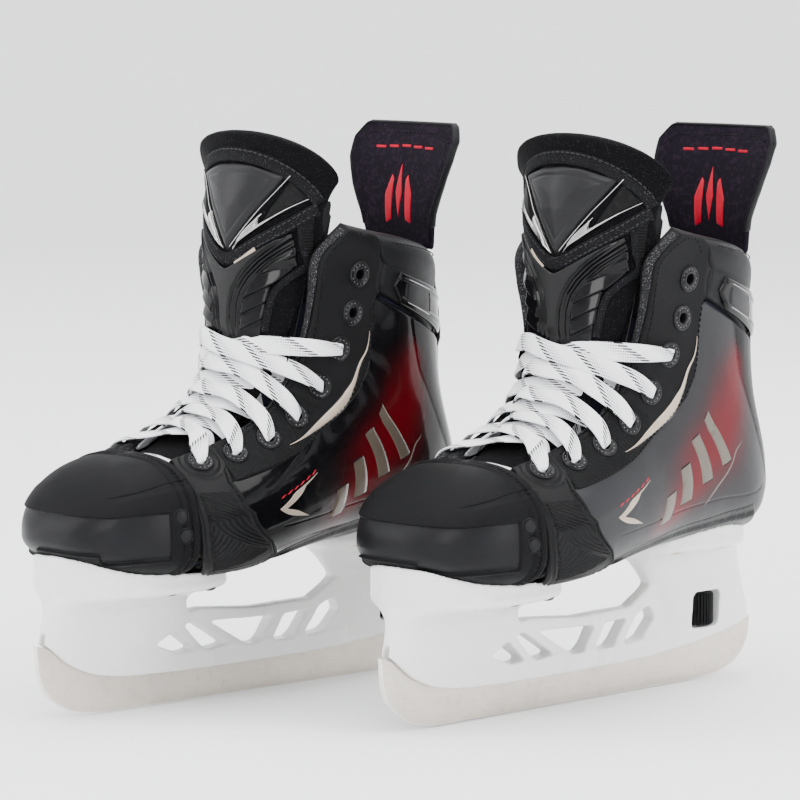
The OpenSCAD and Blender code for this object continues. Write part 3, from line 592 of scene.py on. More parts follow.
# Slot of the pieces in each material, unless the piece says another.
SLOT_MATERIALS = {
    "lace_white": "lace",
    "aglet_clear": "aglet",
    "cap_plastic": "cap cap_band",
    "stitch_thread": "thread grey_thread",
    "leather_black": "leather",
    "gold_print": "gold bar gold_dark",
    "red_print": "red",
    "trim_gloss": "gloss",
    "facing_leather": "facing speckle",
    "wing_plastic": "wing",
    "eyelet_metal": "black_metal mark",
    "silver_trim": "silver",
    "lining_fabric": "lining footbed",
    "felt": "knit felt mesh_cloth rib_cloth",
    "runner_steel": "steel",
    "wheel_black": "rubber",
    "stud_steel": "stud",
    "shell_composite": "gloss_shell satin_shell",
    "guard_fabric": "guard_cloth",
    "sole_composite": "sole",
    "board": "board",
    "rivet_black": "rivet",
    "rivet_copper": "copper",
}
USUAL_SLOT = {key: slot for slot, keys in SLOT_MATERIALS.items() for key in keys.split()}


def studio_floor():
    """Pale floor that sweeps up into a round wall, so no edge shows behind the pair."""
    flat_radius, bend, wall = 3.3, 1.5, 1.9
    turn = np.linspace(0, math.pi / 2, 14)
    profile = [(0.00001, 0), (1.0, 0), (2.2, 0)] + [(flat_radius + bend * math.sin(a),
            bend * (1 - math.cos(a))) for a in turn]
    profile.append((flat_radius + bend, bend + wall))
    a = turns(96)
    v = np.array([np.stack([r * np.cos(a), r * np.sin(a), z - 0.0004 + 0 * a], -1) for r, z in profile])
    mesh = bpy.data.meshes.new("studio_floor")
    mesh.from_pydata(v.reshape(-1, 3).tolist(), [], quads(len(profile), len(a), loop_j=True).tolist())
    mesh.polygons.foreach_set("use_smooth", np.ones(len(mesh.polygons), bool))
    mesh.materials.append(M["floor"])
    add_object("studio_floor", mesh)


studio_floor()


# ---------------------------------------------------------------- laces
TONGUE = np.array([
    [80, 112.5, 17, 2, 60], [62, 122, 19, 3, 62], [44, 130, 21, 4, 64], [30, 138, 22.5, 6, 66],
    [20.5, 150, 24.5, 8, 68], [14.5, 166, 27, 12, 70], [13.5, 181, 29.5, 18, 72]])
LACE_W, LACE_T = 9.5, 1.4
TAIL = np.array([
    [-25.5, 33, 174], [-26, 30.5, 170], [-27, 29.5, 158], [-31, 29, 140], [-36, 28, 120],
    [-40, 26, 104], [-39, 24, 96], [-30, 22.5, 93.8], [-12, 22, 90.8], [10, 22, 87],
    [28, 21.5, 84.4], [42, 19.5, 82.8], [49, 14, 82.2], [44, 8.5, 82.3], [32, 7, 83.3],
    [14, 7, 85.6], [-4, 7, 88.2], [-20, 7.5, 89.9], [-36, 8, 91.2], [-52, 8, 92.4],
    [-66, 8, 93], [-80, 8, 93.4]])


def ribbon(stops, per_span=12, thick=LACE_T, start=0.0):
    """Flat woven lace through (point, across, width) stops: its points, quads, and uv in mm."""
    centre = np.array([s[0] for s in stops], float)
    wide = np.array([[*unit(np.asarray(s[1], float)), s[2]] for s in stops])
    t = np.linspace(0, len(stops) - 1, (len(stops) - 1) * per_span + 1)
    c, q = spline(centre, t), spline(wide, t)
    ahead = unit(np.gradient(c, axis=0))
    raw = q[:, :3]
    across = unit(raw - (raw * ahead).sum(-1, keepdims=True) * ahead)
    up = np.cross(ahead, across)
    a = turns(20)
    x = np.sign(np.cos(a)) * np.abs(np.cos(a)) ** 0.55
    y = np.sign(np.sin(a)) * np.abs(np.sin(a)) ** 0.75
    v = c[:, None] + (q[:, 3:] / 2 * x)[..., None] * across[:, None] + (thick / 2 * y)[None, :, None] * up[:,
            None]
    run = start + np.concatenate([[0], np.cumsum(np.linalg.norm(np.diff(c, axis=0), axis=1))])
    uv = np.stack([np.broadcast_to(run[:, None], v.shape[:2]), np.broadcast_to(LACE_W / 2 * x, v.shape[:2])],
            -1)
    m = len(a)
    v = np.concatenate([np.repeat(c[:1], m, 0), v.reshape(-1, 3), np.repeat(c[-1:], m, 0)])
    uv = np.concatenate([np.repeat([[run[0], 0]], m, 0), uv.reshape(-1, 2), np.repeat([[run[-1], 0]], m, 0)])
    return v, quads(len(t) + 2, m, loop_j=True), uv, run[-1]


def eye_place(i, sign, t):
    return off_skin(EYELETS[i][0], sign * (1 - EYELETS[i][1]), t)


def rim_place(i, share, sign, t):
    s = EYELETS[i][0] + share * (EYELETS[min(i + 1, 7)][0] - EYELETS[i][0])
    return off_skin(s, sign * 0.99, t)


# Rows of the tongue that a strand crosses at its near shoulder, middle and far shoulder.
OVER = ((2.07, 2.3, 2.5), (3.15, 3.2, 3.3), (4.1, 4.15, 4.25), (4.88, 5, 5.05), (5.4, 5.65, 5.85))
UNDER = ((1.95, 2, 2.3), (2.85, 2.75, 2.9), (3.85, 3.75, 3.85), (4.5, 4.5, 4.6), (5.35, 5.45, 5.7))
LIFT = (7.5, 7, 6, 5, 4.2)
NEAR_SHARE = (0.2, 0.25, 0.17, 0, -0.19)


def arch(t, q, lift):
    """Point over the tongue: row t of its table, q degrees across its arch."""
    r = spline(TONGUE, t)
    way = unit((spline(TONGUE, min(t + 0.05, 6)) - spline(TONGUE, t - 0.05))[:2])
    q = math.radians(q)
    drop = r[3] * (1 - math.cos(q)) - lift * math.cos(q)
    return np.array([r[0] - way[1] * drop, (r[2] + lift * 0.8) * math.sin(q), r[1] + way[0] * drop])


def strand(i, sign, rows, lift, start):
    """Strand from an eyelet to the next one of the other side; the top pair stays over the facing."""
    along = skin(EYELETS[i + 1][0], 0.95) - skin(EYELETS[i][0], 0.95)
    near = [(eye_place(i, sign, -2), along, 4.4), (eye_place(i, sign, 2.6), along, 6),
            (rim_place(i, NEAR_SHARE[i], sign, 3.2), along, 9),
            (arch(rows[0], sign * 34, lift - 0.8), along, LACE_W),
            (arch(rows[1], 0, lift), along, LACE_W),
            (arch(rows[2], -sign * 34, lift - (1 if i == 4 else 2.2)), along, LACE_W)]
    if i == 4:
        far = [(rim_place(i, 0.42, -sign, 3.2), along, 9), (eye_place(i + 1, -sign, 2.6), along, 6),
               (eye_place(i + 1, -sign, -2), along, 4.4)]
    else:
        far = [(rim_place(i, 0.45, -sign, -5.2), along, LACE_W), (eye_place(i + 1, -sign, -8.4), along, 7),
               (eye_place(i + 1, -sign, -5), along, 4.4)]
    return ribbon(near + far, start=start)


def lacing(side):
    across_bar = skin(1, 0.95) - skin(0, 0.95)
    top = np.array([66.5, 0, 123.5])
    strands = [ribbon([
        (eye_place(0, 1, -5), across_bar, 4.4), (eye_place(0, 1, -8.2), across_bar, 7),
        (top + [0, 14, -1.5], across_bar, LACE_W), (top, across_bar, LACE_W),
        (top + [0, -14, -1.5], across_bar, LACE_W), (eye_place(0, -1, -8.2), across_bar, 7),
        (eye_place(0, -1, -5), across_bar, 4.4)])]
    for i in range(5):
        v, f, uv, end = strand(i, HAND[side], OVER[i], LIFT[i], 7.0 * i)
        strands.append((v, f, uv * [1, -1], end))
        strands.append(strand(i, -HAND[side], UNDER[i], LIFT[i] - 2, 7.0 * i + 11))
    build(side, "lace_strands", [s[:2] for s in strands], "lace", uv=np.concatenate([s[2] for s in strands]),
          cad=("lace",), weld=0.001)
    for sign, which in PARTS:
        flip = np.array([1, sign, 1])
        stops = []
        for k, p in enumerate(TAIL):
            way = (TAIL[min(k + 1, len(TAIL) - 1)] - TAIL[max(k - 1, 0)]) * flip
            hung = np.array([sign, 0, 0.3])
            stops.append((p * flip, hung if k < 6 else np.cross(way, [0, 0, 1]), 5 if k == 0 else LACE_W))
        v, f, uv, length = ribbon(stops, per_span=8)
        tail = build(side, "lace_tail_" + which, [(v, f)], "lace", uv=uv, cad=("lace_tails",), weld=0.001)
        end = TAIL[-1] * flip
        line = end + np.linspace(0, -20, 9)[:, None] * [1, 0, 0]
        size = np.array([1.35, 1.45, 1.5, 1.5, 1.5, 1.5, 1.5, 1.4, 1.0])[:, None, None] * circle_ring(1, 14)
        tip = build(side, "aglet_" + which, [sweep(line, np.tile([0.0, 0, 1], (9, 1)), size)], "aglet",
                    cad=("aglets",), flat=50)


# ---------------------------------------------------------------- boot pieces
def revolve(centre, axis, profile, n=40):
    """Solid of revolution: profile is (radius, height) pairs along axis from centre."""
    axis = unit(np.asarray(axis, float))
    side_way = unit(np.cross(axis, [0.3, 0.2, 1.0]))
    other = np.cross(axis, side_way)
    a = turns(n)
    rim = np.cos(a)[:, None] * side_way + np.sin(a)[:, None] * other
    v = np.array([centre + r * rim + h * axis for r, h in profile])
    return v.reshape(-1, 3), quads(len(profile), n, loop_j=True)


CAP_REAR, CAP_TIP, CAP_HALF, CAP_MID = 73.5, 127, 50.5, 88


def cap_point(phi, a, t):
    """Toe cap: phi from -90 to 90 round the tip, a from 0, top middle, to 180, bottom middle."""
    phi, a = np.radians(phi), np.radians(a)
    forward = np.maximum(np.cos(phi), 0) ** (2 / 2.3)
    across = np.sign(phi) * np.abs(np.sin(phi)) ** (2 / 2.8)
    reach, rise = np.abs(np.sin(a)) ** (2 / 2.8), np.abs(np.cos(a)) ** (2 / 2.6)
    x = (CAP_TIP - CAP_REAR + t) * forward * reach
    along = x / (CAP_TIP - CAP_REAR)
    high, low = 126 - 17 * along**2.2 + t, 67 + 8 * along**3 - t
    z = np.where(a < math.pi / 2, CAP_MID + (high - CAP_MID) * rise, CAP_MID - (CAP_MID - low) * rise)
    return np.stack([CAP_REAR + x, (CAP_HALF + t) * across * reach, z], -1)


def step(x, lo, hi):
    f = np.clip((x - lo) / (hi - lo), 0, 1)
    return f * f * (3 - 2 * f)


def bump(x, centre, half):
    return np.exp(-(((x - centre) / half) ** 2))


def toe_cap(side):
    phi, a = np.meshgrid(np.linspace(-90, 90, 301),
            np.concatenate([np.linspace(0.2, 40, 40), np.linspace(41, 140, 200),
                    np.linspace(141, 179.8, 30)]), indexing="ij")
    p = cap_point(phi, a, 0)
    x, z = p[..., 0], p[..., 2]
    floor_z = np.where((phi > -30) & (phi < 9), 82.3, 79.5 - 2.2 * step(np.abs(phi), 70, 20))
    band_top = 100.6 + 1.8 * step(np.abs(phi), 30, 75)
    inside = step(z, floor_z - 0.35, floor_z + 0.35) * step(band_top - z, -0.35, 0.35) * step(75
            - np.abs(phi), -0.5, 0.5) * (a > 55)
    t = -1.25 * inside
    t = t + 0.55 * bump(z, floor_z - 0.6, 0.5) * (a > 95) * step(76 - np.abs(phi), 0, 1)
    t = t - 0.5 * bump(a, 51 - 3 * step(np.abs(phi), 55, 80), 0.5) * step(np.abs(phi), 28, 40)
    t = t + 0.45 * step(a, 52, 57) * step(80 - a, 0, 12) * step(np.abs(phi), 28, 60)
    hem = step(81.5 - x, 0, 0.8)
    t = t + hem * (0.35 + 0.75 * bump(x, 75.2, 1.5) + 0.5 * bump(x, 80.3, 0.7))
    t = t - 0.45 * bump(x, 82.4, 0.5) - 0.5 * bump(x, 77.7, 0.5)
    v, f = slab(cap_point(phi, a, t), cap_point(phi, a, -2.6))
    cap = build(side, "toe_cap_shell", [(v, f)], "cap", cad=("toe_cap",),
                tints={"band": np.concatenate([inside.ravel(), np.zeros(phi.size)])})
    second_material(cap, "band", "cap_band")
    seams, quarter_turn = [], np.linspace(0, 90, 200)
    for row_x in (77.6, 79.3):
        for sign in (1, -1):
            turn = np.linspace(10, 178, 120)
            phi_of = [np.interp(row_x, cap_point(quarter_turn, np.full(200, k), 0.4)[::-1, 0],
                    quarter_turn[::-1])
                      for k in turn]
            path = cap_point(sign * np.array(phi_of), turn, 0.55)
            out = unit(cap_point(sign * np.array(phi_of), turn, 1.5) - path)
            seams += stitches(path, out, pitch=2.7, length=1.9, r=0.3)
    build(side, "toe_cap_stitches", seams, "thread")
    discs = []
    for sign in (1, -1):
        for x0, y0, z0 in ((84.4, 49.0, 100.2), (82.6, 50.2, 90.9)):
            way = unit(np.array([0.30, sign * 0.94, 0.10 if z0 > 95 else 0.0]))
            discs.append(revolve(np.array([x0, sign * y0, z0]), way,
                    [(0.01, -2.0), (3.9, -2.0), (4.0, 0.55), (3.85, 0.75), (3.5, 0.8), (3.35, 0.45),
                     (3.15, 0.4), (3.0, 0.95), (2.6, 1.15), (0.01, 1.25)]))
    build(side, "toe_cap_discs", discs, "cap_band", flat=45)


def second_material(obj, key, mat):
    """Faces whose points all carry the attribute take the second material."""
    me = obj.data
    value = np.zeros(len(me.vertices), np.float32)
    me.attributes[key].data.foreach_get("value", value)
    index = np.zeros(len(me.loops), np.int32)
    me.loops.foreach_get("vertex_index", index)
    total = np.zeros(len(me.polygons), np.int32)
    me.polygons.foreach_get("loop_total", total)
    low = np.minimum.reduceat(value[index], np.concatenate([[0], np.cumsum(total)[:-1]]))
    me.materials.append(M[mat])
    me.polygons.foreach_set("material_index", (low > 0.5).astype(np.int32))


def vamp(side):
    """Padded leather between the cap and the tongue, with a rolled, stitched hem."""
    phi, a = np.meshgrid(np.linspace(-88, 88, 90), np.linspace(0.2, 38, 40), indexing="ij")
    outer = cap_point(phi, a, 0) - [7, 0, 0]
    keep = outer[..., 0] > CAP_REAR + 0.2
    outer[..., 0] = np.maximum(outer[..., 0], CAP_REAR + 0.2)
    outer[..., 1] = np.clip(outer[..., 1], -17, 17)
    outer[..., 2] -= 3.3 - 0.3 * keep
    build(side, "vamp_leather", [slab(outer, outer - [0, 0, 2.4])], "leather", cad=("vamp",))
    y = np.linspace(-26, 26, 60)
    hem = np.stack([77.0 - 0.006 * y**2, y, 123.3 - 0.0065 * y**2], -1)
    up = np.tile([0.1, 0, 1.0], (60, 1))
    build(side, "vamp_hem", [sweep(hem, up, circle_ring(2.6, 16, 0.75))], "leather")
    build(side, "vamp_hem_stitches", stitches(hem + [1.0, 0, 1.75], up, pitch=2.6), "grey_thread")


FADE_LINE = np.array([[3.2, 0.62], [3.7, 0.56], [4.3, 0.50], [5.2, 0.445], [6.35, 0.435], [7.3, 0.49],
        [8.1, 0.57]])


def fade_at(s, v):
    """Strength of the red fade over the rear quarter."""
    line = resample(FADE_LINE * [PITCH, GIRTH], count=90)
    d = np.min([np.hypot(s * PITCH - q[0], v * GIRTH - q[1]) for q in line], axis=0)
    width = np.interp(s, [3.2, 5.2, 7.3, 8.1], [8.5, 9, 7, 5])
    return 0.9 * np.exp(-((d / width) ** 2)) * step(s, 2.6, 3.8) * step(8.7 - s, 0, 0.6)


def back_band(s, v):
    """Gloss black band up the heel."""
    edge = np.interp(s, [6.2, 6.7, 7.1, 7.8, 8.3, 8.8], [0.93, 0.70, 0.62, 0.565, 0.56, 0.55])
    return step(v, edge - 0.006, edge + 0.006) * step(s, 6.2, 6.3)


def quarter(side):
    edge = lambda s: 1.02 - facing_edge(s)

    def relief(a, b, s, u):
        v = 1 - np.abs(u)
        sole = np.interp(s, [1.2, 3.6, 4.9, 5.8, 6.5], [0.45, 0.56, 0.60, 0.64, 0.70])
        return -0.4 * bump((v - sole) * GIRTH, 0, 0.5) * step(s, 1.9, 2.1) * step(6.5 - s, 0,
                0.3) + 0.35 * back_band(s, v)

    def face(s, u):
        v = 1 - np.abs(u)
        return -1.7 + 1.7 * np.where(v > 0.86, step(s, 0.25, 0.35), step(s - wing_edge(v, 2), -0.10, 0.0))

    v, f, su = round_pad(0.25, 8.45, edge, (240, 330), (0.008, 0.008), -3.0, face, relief)
    share = 1 - np.abs(su[:, 1])
    fade, band = fade_at(su[:, 0], share), back_band(su[:, 0], share)
    shell = build(side, "quarter_lacquer", [(v, f)], "gloss_shell" if side == "right" else "satin_shell",
            cad=("quarter_shell",),
                  tints={"fade": fade, "band": band})
    second_material(shell, "band", "heel_gloss" if side == "right" else "heel_satin")


def patch(first, second, sign, t, count=60, across=5):
    """Thin print between two (s, v) lines on the boot."""
    a, b = resample(first, count=count, curved=len(first) > 2), resample(second, count=count,
            curved=len(second) > 2)
    k = np.linspace(0, 1, across)[:, None, None]
    sv = a[None] * (1 - k) + b[None] * k
    u = sign * (1 - sv[..., 1])
    full = np.ones(sv.shape[:2])
    full[[0, -1]] = 0
    full[:, [0, -1]] = 0
    return slab(off_skin(sv[..., 0], u, t + 0.14 * full - 0.05),
                off_skin(sv[..., 0], u, np.full(u.shape, t - 0.25)))


def prints(side):
    """Generic shapes of the boot's decoration: a boomerang, a chevron, dashes and slanted bars."""
    gold, bars, frames, red, outline = [], [], [], [], []
    for sign in (1, -1):
        low = np.array([[7.77, 0.326], [6.72, 0.243], [5.91, 0.232], [5.12, 0.247], [4.63, 0.243],
                [3.74, 0.221], [2.9, 0.182]])
        high = np.array([[7.77, 0.324], [6.65, 0.231], [5.65, 0.214], [5.12, 0.214], [4.42, 0.206],
                [3.51, 0.197], [2.9, 0.180]])
        gold.append(patch(high, low, sign, FACING_OUT + 0.30))
        rim = np.array([0.03, 0.004])
        outline.append(patch(high - rim, low + [0.0, 0.005], sign, FACING_OUT + 0.22))
        tip = np.array([1.9, 0.412])
        gold.append(patch([tip, [2.53, 0.396], [3.3, 0.378]],
                [tip + [0.24, 0.010], [2.62, 0.409], [3.3, 0.380]], sign, 0.0))
        gold.append(patch([tip, [2.2, 0.452], [2.72, 0.499]],
                [tip + [0.24, 0.008], [2.45, 0.447], [2.72, 0.498]], sign, 0.0))
        for k in range(6):
            at = np.array([1.98 + 0.22 * k, 0.392 - 0.0042 * k])
            red.append(patch([at, at + [0.14, -0.013]], [at + [0.10, 0.004], at + [0.24, -0.009]], sign, 0.0,
                    count=8, across=3))
        for place in ((3.6, 0.528), (4.3, 0.482), (5.05, 0.446), (5.8, 0.426)):
            c, lean, half = np.array(place), np.array([0.2, -0.06]), np.array([0.18, 0.0])
            for found, long, wide, lift in ((bars, 1, 1, 0.03), (frames, 1.06, 1.2, -0.03)):
                lo, hi = c - lean * long, c + lean * long
                found.append(patch([lo - half * wide, hi - half * wide], [lo + half * wide, hi + half * wide],
                        sign, lift))
        bars.append(patch([[4.5, 0.608], [4.9, 0.551], [5.9, 0.484], [6.45, 0.50]],
                [[4.5, 0.610], [4.96, 0.556], [5.9, 0.490], [6.45, 0.502]], sign, 0.0, across=3))
    build(side, "beige_prints", gold, "gold")
    build(side, "beige_bars", bars, "bar" if side == "left" else "gold_dark")
    build(side, "bar_frames", frames, "thread", slot="trim_gloss")
    build(side, "red_dashes", red, "red")
    build(side, "stripe_outline", outline, "gloss")


def pierced(points, faces, holes, radius):
    """A panel without the faces over its eyelets' holes; each eyelet's flanges cover the gap."""
    middle = points[faces].mean(1)
    keep = np.ones(len(faces), bool)
    for s, u in holes:
        off = middle - skin(s, u)
        along = off @ skin_normal(s, u)
        keep &= (np.linalg.norm(off - along[:, None] * skin_normal(s, u),
                axis=1) > radius) | (np.abs(along) > 12)
    used = np.unique(faces[keep])
    place_of = np.zeros(len(points), int)
    place_of[used] = np.arange(len(used))
    return points[used], place_of[faces[keep]]


def facing(side):
    """Matte facing strips: ribbed round the lower eyelets, smooth above a slanted step."""
    rib = mm_along(np.linspace(0, 10, 400))

    def relief(a, b, s, u):
        v = 1 - np.abs(u)
        run = np.interp(s, np.linspace(0, 10, 400), rib)
        end = 4.25 + 2.6 * (v - 0.13)
        clear = 1 - step(v, 0.170, 0.176) * step(s, 2.85, 2.95)
        on = step(end - s, 0, 0.05) * step(s, 0.9, 0.95) * step(v * GIRTH, 4.5,
                5.0) * step((facing_edge(s) - v) * GIRTH, 2.6, 3.2) * clear
        groove = 0.28 * bump(v * GIRTH, 3.6, 0.35) + 0.22 * bump((facing_edge(s) - v) * GIRTH, 2.2, 0.3)
        return on * 0.42 * (np.abs(np.sin(math.pi * run / 1.75)) - 0.6) - groove * 0.6 + 0.3 * bump(s, end,
                0.035) * step(v, 0.02, 0.05) * clear

    for sign, part in PARTS:
        s_of = lambda a, b: 0.15 + 9.85 * a
        u_of = lambda a, b: sign * (1 - b * facing_edge(0.15 + 9.85 * a))
        v, f, _ = skin_pad(s_of, u_of, (840, 50), (0.012, 0.06), FACING_IN, lambda s, u: -1.2
                + 2.4 * step(s, 0.95, 1.15), relief)
        build(side, part + "_facing_leather", [pierced(v, f, [(e[0], sign * (1 - e[1])) for e in EYELETS],
                3.9)], "facing", cad=(part + "_facing",))
        path, out = skin_path([[0.35, 0.0], [2, 0.0], [4, 0.0], [6, 0.0], [8, 0.0], [9.4, 0.0],
                [9.85, 0.012]], sign, -2.6)
        build(side, part + "_facing_edge", [sweep(path, out, circle_ring(1, 14) * [0.95, 2.7])], "speckle")
        rows = stitches(*skin_path([[1.3, 0.028], [3, 0.028], [5, 0.028], [7, 0.03], [8.6, 0.035],
                [9.4, 0.045], [9.82, 0.10], [9.86, 0.20], [9.6, 0.32]], sign, FACING_OUT), pitch=2.8,
                        length=2.0, r=0.4)
        low = [[s, facing_edge(s) - 0.016] for s in (1.3, 2.2, 3.2, 4.2, 5.2, 6.2, 7.2, 8.0, 8.8)]
        rows += stitches(*skin_path(low, sign, FACING_OUT), pitch=2.8, length=2.0, r=0.42)
        build(side, part + "_facing_stitches", rows, "thread")


WING_ROWS = np.array([
    [0, 0.05, 1.15], [0.1, 0.04, 1.1], [0.2, 0.03, 0.95], [0.35, 0.04, 1.05], [0.44, 0.09, 1.35],
    [0.53, 0.15, 1.65],
    [0.6, 0.23, 1.78], [0.65, 0.3, 1.88], [0.7, 0.37, 1.9], [0.76, 0.45, 1.85], [0.81, 0.55, 1.65],
    [0.86, 0.65, 1.4]])


def wing_edge(v, k):
    return np.interp(v, WING_ROWS[:, 0], WING_ROWS[:, k])


def wing(side):
    """Moulded wing beside the cap: raised borders round a field of slanted ribs."""
    def relief(a, b, s, u):
        v = 1 - np.abs(u)
        mm_b = (b - 0.5) * 27 * (wing_edge(v, 2) - wing_edge(v, 1))
        mm_a = v * GIRTH
        half = 13.5 * (wing_edge(v, 2) - wing_edge(v, 1))
        inner = half - np.abs(mm_b)
        lo_end, hi_end = 29 + 0.25 * mm_b, 80 - 0.5 * mm_b
        field = step(inner, 4.4, 5.0) * step(mm_a, lo_end, lo_end + 0.7) * step(hi_end - mm_a, 0, 0.7)
        middle = bump(mm_a - 57 - 0.9 * mm_b, 0, 1.1)
        way = np.where(mm_a > 57 + 0.9 * mm_b, 1.0, -1.0)
        rib = np.abs(((mm_a * 0.72 + way * mm_b * 0.7) / 2.3) % 1 - 0.5) * 2
        ridge = 0.5 * bump(inner, 3.7, 0.55) + 0.3 * bump(inner, 0.9, 0.6) - 0.35 * bump(inner, 2.3, 0.7)
        groove = -0.45 * (bump(mm_a, 86, 0.5) + bump(mm_a, 91, 0.5) + bump(mm_a, 96, 0.5)) * step(inner, 3.0,
                4.0)
        lobe = np.linalg.norm(skin(s, u) - skin(EYELETS[0][0], np.sign(u) * (1 - EYELETS[0][1])), axis=-1)
        rings = 0.45 * bump(lobe, 8.3, 0.55) - 0.35 * bump(lobe, 10.0, 0.6) + 0.35 * bump(lobe, 11.6, 0.6)
        return field * (-0.75 + 0.75 * rib * (1 - middle) + 0.75 * middle) + ridge * step(mm_a, 15,
                20) + groove + rings * step(22 - mm_a, 0, 3)

    for sign, part in PARTS:
        v_of = lambda a: 0.005 + 0.855 * a
        front = lambda v: wing_edge(v, 1) - 0.17 * step(v, 0.02, 0.1)
        s_of = lambda a, b: front(v_of(a)) + (wing_edge(v_of(a), 2) - front(v_of(a))) * b
        u_of = lambda a, b: sign * (1 - v_of(a))
        v, f, _ = skin_pad(s_of, u_of, (330, 110), (0.012, 0.04), -0.6, WING_OUT, relief)
        build(side, part + "_wing_moulding", [pierced(v, f, [(EYELETS[0][0], sign * (1 - EYELETS[0][1]))],
                3.9)], "wing", cad=(part + "_wing",))
        rows = []
        for k, inset in ((1, 0.085), (2, -0.085)):
            line = [[wing_edge(v, k) + inset, v] for v in (0.10, 0.2, 0.3, 0.4, 0.5, 0.6, 0.68, 0.76, 0.83)]
            rows += stitches(*skin_path(line, sign, WING_OUT - 0.15), pitch=2.7, length=1.9, r=0.3)
        build(side, part + "_wing_stitches", rows, "thread")


def eyelets(side):
    rings, marks = [], []
    for sign in (1, -1):
        for i, (s, v) in enumerate(EYELETS):
            u = sign * (1 - v)
            centre, way = skin(s, u), skin_normal(s, u)
            h = WING_OUT if i == 0 else FACING_OUT
            rings.append(revolve(centre, way, [(2.6, FACING_IN - 0.6), (3.0, FACING_IN - 0.8),
                    (4.5, FACING_IN - 0.7), (4.9, FACING_IN - 0.3), (4.7, FACING_IN + 0.1),
                    (3.1, FACING_IN + 0.1), (3.1, h), (6.35, h - 0.1), (6.5, h + 0.35), (6.2, h + 0.85),
                    (5.7, h + 1.0),
                                               (5.4, h + 0.75), (4.3, h + 0.8), (4.0, h + 1.25),
                                               (3.4, h + 1.35), (2.85, h + 1.1), (2.6, h + 0.6),
                                               (2.6, FACING_IN - 0.6)], 48))
            side_way = unit(np.cross(way, [0.2, 0.1, 1.0]))
            other = np.cross(way, side_way)
            for k in range(14):
                if k % 7 == 6:
                    continue
                a = 2 * math.pi * k / 14 + i
                rim = math.cos(a) * side_way + math.sin(a) * other
                turn = -math.sin(a) * side_way + math.cos(a) * other
                lean = (turn if k % 3 else rim) * 0.42
                c = centre + 4.85 * rim + (h + 0.78) * way
                line = c + np.linspace(-1, 1, 4)[:, None] * lean
                marks.append(sweep(line, np.tile(way, (4, 1)),
                        np.array([0.4, 1, 1, 0.4])[:, None, None] * circle_ring(0.24, 6)))
    build(side, "eyelet_rings", rings, "black_metal", cad=("eyelets",), flat=50)
    build(side, "eyelet_marks", marks, "mark")


def collar(side):
    """Padded ankle collar, its gloss trim with a blank badge, and the back stay."""
    edge = lambda s: 1 - facing_edge(s) + 0.02
    relief = lambda a, b, s, u: 0.9 * np.sin(math.pi * np.clip((s - 9.35) / 0.6, 0, 1)) - 0.5 * bump(s, 9.4,
            0.02)
    v, f, _ = round_pad(8.72, 1.28, edge, (60, 160), (0.22, 0.02), -7.2, 0.2, relief)
    pad = build(side, "collar_pad", [(v, f)], "leather", cad=("collar",))
    seam = [[9.86, 0.42], [9.88, 0.6], [9.86, 0.8], [9.86, 0.99]]
    build(side, "collar_seam", stitches(*skin_path(seam, 1, 0.2), pitch=3.0)
          + stitches(*skin_path(seam, -1, 0.2), pitch=3.0),
          "thread")
    wide = lambda s: np.interp(s, [8.74, 9.05, 9.38], [0.50, 0.535, 0.51])
    ridges = lambda a, b, s, u: 0.55 * (bump(a, 0.2, 0.05) + bump(a, 0.8, 0.05)) - 0.3 * bump(a, 0.5, 0.22)
    v, f, _ = round_pad(8.76, 0.6, wide, (50, 150), (0.1, 0.015), 0.2, 1.9, ridges)
    build(side, "collar_trim_band", [(v, f)], "gloss", cad=("collar_trim",))
    plates, rims = [], []
    for sign in (1, -1):
        v, f, _ = skin_pad(lambda a, b: 8.88 + 0.36 * a, lambda a, b: sign * (0.36 + 0.13 * b), (16, 30),
                (0.12, 0.08), 1.0, 2.35)
        plates.append((v, f))
        path, out = skin_path([[8.86, 0.52], [8.86, 0.64], [9.05, 0.66], [9.26, 0.64], [9.27, 0.52]], sign,
                2.1, curved=False)
        rims.append(sweep(path, out, circle_ring(0.28, 8)))
    build(side, "collar_badge", plates, "badge", slot="trim_gloss")
    build(side, "collar_badge_edge", rims, "silver")
    rows = np.array([[6.6, 0.05, 0.3, 1.0], [7.2, 0.08, 0.3, 2.0], [7.9, 0.11, 0.3, 2.5],
            [8.6, 0.13, 0.3, 2.6], [8.72, 0.13, 1.9, 4.2], [9.4, 0.12, 1.9, 4.2], [9.85, 0.11, 0.6, 2.6]])
    at = lambda s, k: np.interp(s, rows[:, 0], rows[:, k])
    stay = lambda s: at(s, 1)
    grooves = lambda a, b, s, u: -0.4 * (bump(b, 0.25, 0.03)
            + bump(b, 0.75, 0.03)) + 0.35 * np.abs(np.sin(s * 14)) * step(s, 8.7, 8.8)
    v, f, _ = round_pad(6.6, 3.25, stay, (150, 40), (0.02, 0.08),
                       lambda s, u: at(s, 2), lambda s, u: at(s, 3), grooves)
    build(side, "backstay_moulding", [(v, f)], "gloss", cad=("backstay",))


